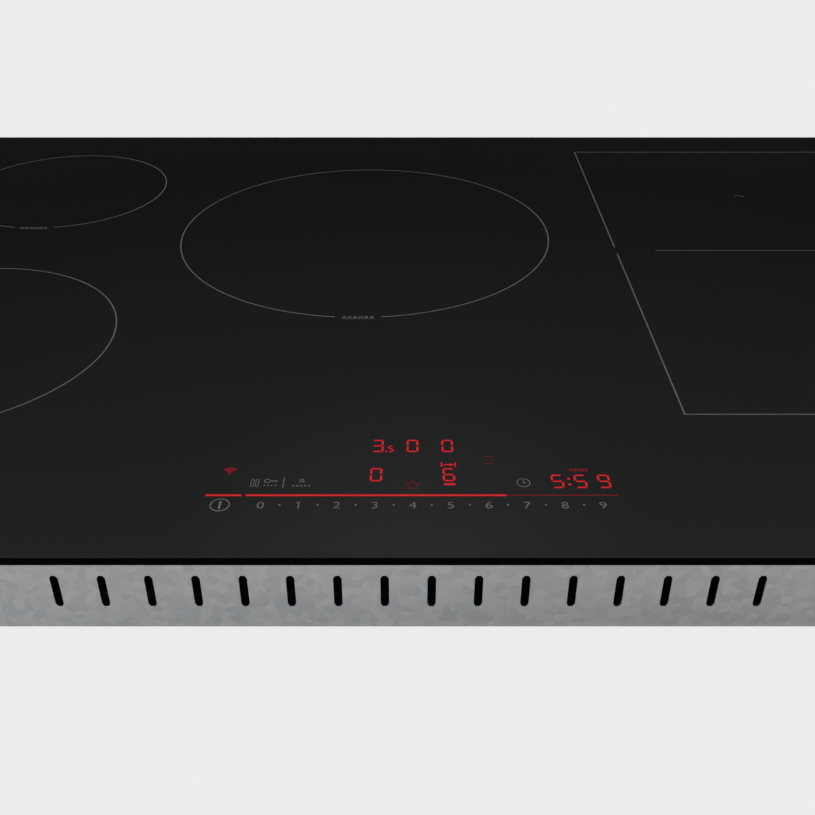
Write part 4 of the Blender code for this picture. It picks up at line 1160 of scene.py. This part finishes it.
DIGIT_W = 0.0053
DIGIT_H = 0.0096
SEGMENT_W = 0.00090
SEGMENT_GAP = 0.00034
WAIST_GAP = 0.0012
DIGITS = {0: "abcdef", 3: "abcdg", 5: "afgcd", 6: "afgedc", 9: "abcdfg"}
SMALL_DIGIT = (0.0027, 0.0049, 0.0008)
BAR_LEVEL = 0.0418
BAR_END = 0.0891
BAR_W = 0.00115
DIM_BAR_W = 0.0008
# value, left, bottom of each digit; both ends and width of each bar; middle, radius, steps of each dot
LIT_DIGITS = ((3, -0.0165, 0.0717), (0, -0.0007, 0.0717), (0, 0.0151, 0.0717), (0, -0.0167, 0.0498))
LIT_DIGITS += ((6, 0.0151, 0.0498), (5, 0.0621, 0.0450), (5, 0.0721, 0.0450), (9, 0.0823, 0.0450))
LIT_DIGITS += ((5, -0.0092, 0.0717, *SMALL_DIGIT),)
LIT_BARS = (((-0.0863, SLIDER_Y), (-0.07095, SLIDER_Y), BAR_W),)
LIT_BARS += (((-0.0693, SLIDER_Y), (BAR_LEVEL, SLIDER_Y), BAR_W),)
LIT_BARS += (((0.0154, 0.0477), (0.0204, 0.0477), 0.0013), ((0.0156, 0.0620), (0.0186, 0.0620), 0.0006))
LIT_BARS += (((0.0148, 0.0603), (0.0148, 0.0637), 0.0007), ((0.0208, 0.0603), (0.0208, 0.0637), 0.0007))
LIT_DOTS = (((-0.0100, 0.0721), 0.0005, 10),)
LIT_DOTS += (((0.0698, 0.0476), 0.0007, 12), ((0.0698, 0.0516), 0.0007, 12))
ARROW_HEAD = ((0.0183, 0.0609), (0.0202, 0.0620), (0.0183, 0.0631))
RADIO = (-0.0784, 0.0552)
RADIO_DOT_R = 0.00065
RADIO_ARCS = (0.0017, 0.0029, 0.0041)
RADIO_SPREAD = (math.radians(48), math.radians(132))
RADIO_LINE = 0.0008
TICKS = 7
TICK_X = 0.0712
TICK_PITCH = 0.0012
TICK = (0.0571, 0.0590, 0.0006)
STAR = (0.0019, 0.0470)
STAR_POINT_R = 0.0034
STAR_NOTCH_R = 0.0015
STAR_LINE = 0.0004
MENU_LINE = 0.00045
MENU_ENDS = (0.0335, 0.0380)
MENU_ROWS = (0.0628, 0.0684)
DASHES = 4
DASH = (0.0338, 0.0656, 0.0013, 0.0006)


def segment(shape, start, end, width, mitre=(0, 0, 0, 0)):
    """A bar between two points with slanted ends. The mitre lengthens its four corners."""
    start = Vector(start)
    end = Vector(end)
    along = (end - start).normalized()
    across = Vector((-along.y, along.x)) * width / 2
    corners = [
        start + across - along * mitre[0],
        start - across - along * mitre[1],
        end - across + along * mitre[2],
        end + across + along * mitre[3],
    ]
    printed(shape, corners)


def digit(shape, value, left, bottom, width=DIGIT_W, height=DIGIT_H, stroke=SEGMENT_W):
    """A seven-part digit. Parts a to g run clockwise from the top, g last."""
    right = left + width
    top = bottom + height
    waist = bottom + height / 2
    half = stroke / 2
    cut_back = half + SEGMENT_GAP
    tip = half - SEGMENT_GAP
    for part in DIGITS[value]:
        if part in "adg":
            level = {"a": top - half, "d": bottom + half, "g": waist}[part]
            ends = (left + cut_back, level), (right - cut_back, level)
            mitre = {"a": (tip, -tip, -tip, tip), "d": (-tip, tip, tip, -tip), "g": (0, 0, 0, 0)}[part]
            segment(shape, *ends, stroke, mitre)
            continue
        x = right - half if part in "bc" else left + half
        if part in "bf":
            ends = (x, top - cut_back), (x, waist + WAIST_GAP / 2)
        else:
            ends = (x, bottom + cut_back), (x, waist - WAIST_GAP / 2)
        mitre = (tip, -tip, 0, 0) if (part in "bf") == (x > (left + right) / 2) else (-tip, tip, 0, 0)
        segment(shape, *ends, stroke, mitre)


def glowing_guide(name, core, rim):
    """Light that leaves a guide: brightest in the middle of its grain, a shade deeper between."""
    material, tree, shader = new_material(name)
    grain = place_group(tree, cloudiness, scale=500.0, sharpness=0.35)
    tree.links.new(two_tone(tree, grain.outputs["Mask"], core, rim), shader.inputs["Emission Color"])
    shader.inputs["Emission Strength"].default_value = 1.0
    shader.inputs["Base Color"].default_value = (0.002, 0.001, 0.001, 1)
    shader.inputs["Roughness"].default_value = 0.3
    shader.inputs["Specular IOR Level"].default_value = 0.15
    return material


lit = bmesh.new()
for value, *place in LIT_DIGITS:
    digit(lit, value, *place)
for bar in LIT_BARS:
    segment(lit, *bar)
for dot in LIT_DOTS:
    disc(lit, *dot)
printed(lit, ARROW_HEAD)
lit_red = glowing_guide("lit_red", (0.74, 0.000, 0.030), (0.58, 0.000, 0.024))
settle(drawn("lit_digits", lit), lit_red)

faint = bmesh.new()
segment(faint, (BAR_LEVEL, SLIDER_Y), (BAR_END, SLIDER_Y), DIM_BAR_W)
dim_red = glowing_guide("dim_red", (0.16, 0.012, 0.014), (0.12, 0.010, 0.012))
settle(drawn("dim_slider", faint), dim_red)

radio = bmesh.new()
disc(radio, RADIO, RADIO_DOT_R, 12)
for radius in RADIO_ARCS:
    ribbon(radio, arc_points(RADIO, radius, *RADIO_SPREAD, 0.15), RADIO_LINE)
for i in range(TICKS):
    x = TICK_X + TICK_PITCH * i
    segment(radio, (x, TICK[0]), (x, TICK[1]), TICK[2])
radio_red = glowing_guide("radio_red", (0.28, 0.006, 0.020), (0.22, 0.005, 0.016))
settle(drawn("radio_sign", radio), radio_red)

hints = bmesh.new()
star = []
for i in range(10):
    reach = STAR_NOTCH_R if i % 2 else STAR_POINT_R
    angle = math.pi / 2 + i * math.pi / 5
    star.append((STAR[0] + reach * math.cos(angle), STAR[1] + reach * math.sin(angle)))
ribbon(hints, star, STAR_LINE, True)
for y in MENU_ROWS:
    segment(hints, (MENU_ENDS[0], y), (MENU_ENDS[1], y), MENU_LINE)
dash_x, dash_y, dash_pitch, dash_length = DASH
for i in range(DASHES):
    x = dash_x + dash_pitch * i
    segment(hints, (x, dash_y), (x + dash_length, dash_y), MENU_LINE)
hint_red = glowing_guide("hint_red", (0.16, 0.010, 0.016), (0.13, 0.008, 0.013))
settle(drawn("hint_signs", hints), hint_red)


# Floor, light and camera
# A pale floor that is seen from above only, broad soft lamps overhead, and a studio whose far side
# is dim, so that the glass stays black.

FLOOR_HALF = 12.0
FLOOR_DROP = 0.0002
FLOOR_LIFT = 5.0
UNDER_GAP = 0.004  # light from below reaches what lies this close over the floor


def pale_floor():
    """Matt and pale, lit up for the camera, and clear to short rays and from below."""
    material, tree, shader = new_material("pale_floor")
    clouds = place_group(tree, cloudiness, scale=1.2, sharpness=0.3)
    colour = two_tone(tree, clouds.outputs["Mask"], (0.80, 0.80, 0.80), (0.78, 0.78, 0.78))
    rays = add_node(tree, "LightPath")
    facing = add_node(tree, "NewGeometry")
    near = add_node(tree, "Math", operation="LESS_THAN")
    near.inputs[1].default_value = UNDER_GAP
    unseen = add_node(tree, "Math", operation="MAXIMUM")
    clear = add_node(tree, "BsdfTransparent")
    choice = add_node(tree, "MixShader")
    shader.inputs["Roughness"].default_value = 0.9
    glow = between(tree, rays.outputs["Is Camera Ray"], 0.0, FLOOR_LIFT)
    for source, target in (
        (colour, shader.inputs["Base Color"]),
        (colour, shader.inputs["Emission Color"]),
        (glow, shader.inputs["Emission Strength"]),
        (rays.outputs["Ray Length"], near.inputs[0]),
        (near.outputs[0], unseen.inputs[0]),
        (facing.outputs["Backfacing"], unseen.inputs[1]),
        (unseen.outputs[0], choice.inputs[0]),
        (shader.outputs[0], choice.inputs[1]),
        (clear.outputs[0], choice.inputs[2]),
        (choice.outputs[0], tree.nodes["Material Output"].inputs["Surface"]),
    ):
        tree.links.new(source, target)
    return material


floor_shape = bmesh.new()
flat = [(sx * FLOOR_HALF, sy * FLOOR_HALF) for sx, sy in ((-1, -1), (1, -1), (1, 1), (-1, 1))]
floor_shape.faces.new([floor_shape.verts.new((x, y, cad_low.z - FLOOR_DROP)) for x, y in flat])
floor = drawn("floor", floor_shape)
floor.data.materials.append(pale_floor())


def soft_lamp(name, place, size, power):
    lamp = bpy.data.lights.new(name, "AREA")
    lamp.shape = "DISK"
    lamp.size = size
    lamp.energy = power
    obj = bpy.data.objects.new(name, lamp)
    obj.location = place
    obj.rotation_euler = (-Vector(place)).to_track_quat("-Z", "Y").to_euler()
    bpy.context.scene.collection.objects.link(obj)


soft_lamp("key_lamp", (-1.9, -1.9, 2.0), 1.4, 54)
soft_lamp("fill_lamp", (1.9, -0.6, 2.2), 1.4, 18)

# Where the studio is dim and where it glows, as directions
DIM_SIDE = Vector((0, math.cos(math.radians(14)), math.sin(math.radians(14))))
GLOW_SIDE = Vector((0, math.cos(math.radians(46)), math.sin(math.radians(46))))
OVERHEAD = Vector((0, 0, 1))

world = bpy.data.worlds.new("studio")
world.use_nodes = True
bpy.context.scene.world = world
sky = world.node_tree
sky.nodes.clear()
sky_place = add_node(sky, "TexCoord")


def closeness(direction, low, high, bottom, top, softness):
    """How near a ray's direction is to a given one, raised to a power and mapped to a brightness."""
    dot = add_node(sky, "VectorMath", operation="DOT_PRODUCT")
    dot.inputs[1].default_value = direction
    sky.links.new(sky_place.outputs["Generated"], dot.inputs[0])
    share = add_node(sky, "MapRange", from_min=low, from_max=high)
    sky.links.new(dot.outputs["Value"], share.inputs["Value"])
    shaped = add_node(sky, "Math", operation="POWER")
    shaped.inputs[1].default_value = softness
    sky.links.new(share.outputs[0], shaped.inputs[0])
    return between(sky, shaped.outputs[0], bottom, top)


def total(first, second):
    both = add_node(sky, "Math", operation="ADD")
    sky.links.new(first, both.inputs[0])
    sky.links.new(second, both.inputs[1])
    return both.outputs[0]


around = closeness(DIM_SIDE, 0.90, -0.2, 0.035, 0.75, 1.4)
lifted = closeness(OVERHEAD, 0.33, 0.66, 0.0, 0.275, 1.4)
glow = closeness(GLOW_SIDE, 0.965, 1.0, 0.0, 0.144, 1.5)
mirrored = total(around, total(lifted, glow))
rays = add_node(sky, "LightPath")
seen = between(sky, rays.outputs["Is Camera Ray"], 0.93, 16.0)
choice = add_node(sky, "MixShader")
sky.links.new(rays.outputs["Is Glossy Ray"], choice.inputs[0])
for slot, strength in ((1, seen), (2, mirrored)):
    light = add_node(sky, "Background", color=(1, 1, 1, 1))
    sky.links.new(strength, light.inputs["Strength"])
    sky.links.new(light.outputs[0], choice.inputs[slot])
sky.links.new(choice.outputs[0], add_node(sky, "OutputWorld").inputs["Surface"])

CAMERA_LENS = 44.35
CAMERA_PITCH = math.radians(32.94)
CAMERA_ABOVE_GLASS = 0.2635
CAMERA_BEFORE_GLASS = 0.2985
lens = bpy.data.cameras.new("camera")
lens.lens = CAMERA_LENS
lens.sensor_width = 36.0
lens.shift_x = -0.0009
lens.shift_y = 0.0008
lens.clip_start = 0.01
camera = bpy.data.objects.new("camera", lens)
camera.location = (0, GLASS_FRONT - CAMERA_BEFORE_GLASS, glass_high.z + CAMERA_ABOVE_GLASS)
camera.rotation_euler = (math.pi / 2 - CAMERA_PITCH, 0, 0)
bpy.context.scene.collection.objects.link(camera)
bpy.context.scene.camera = camera
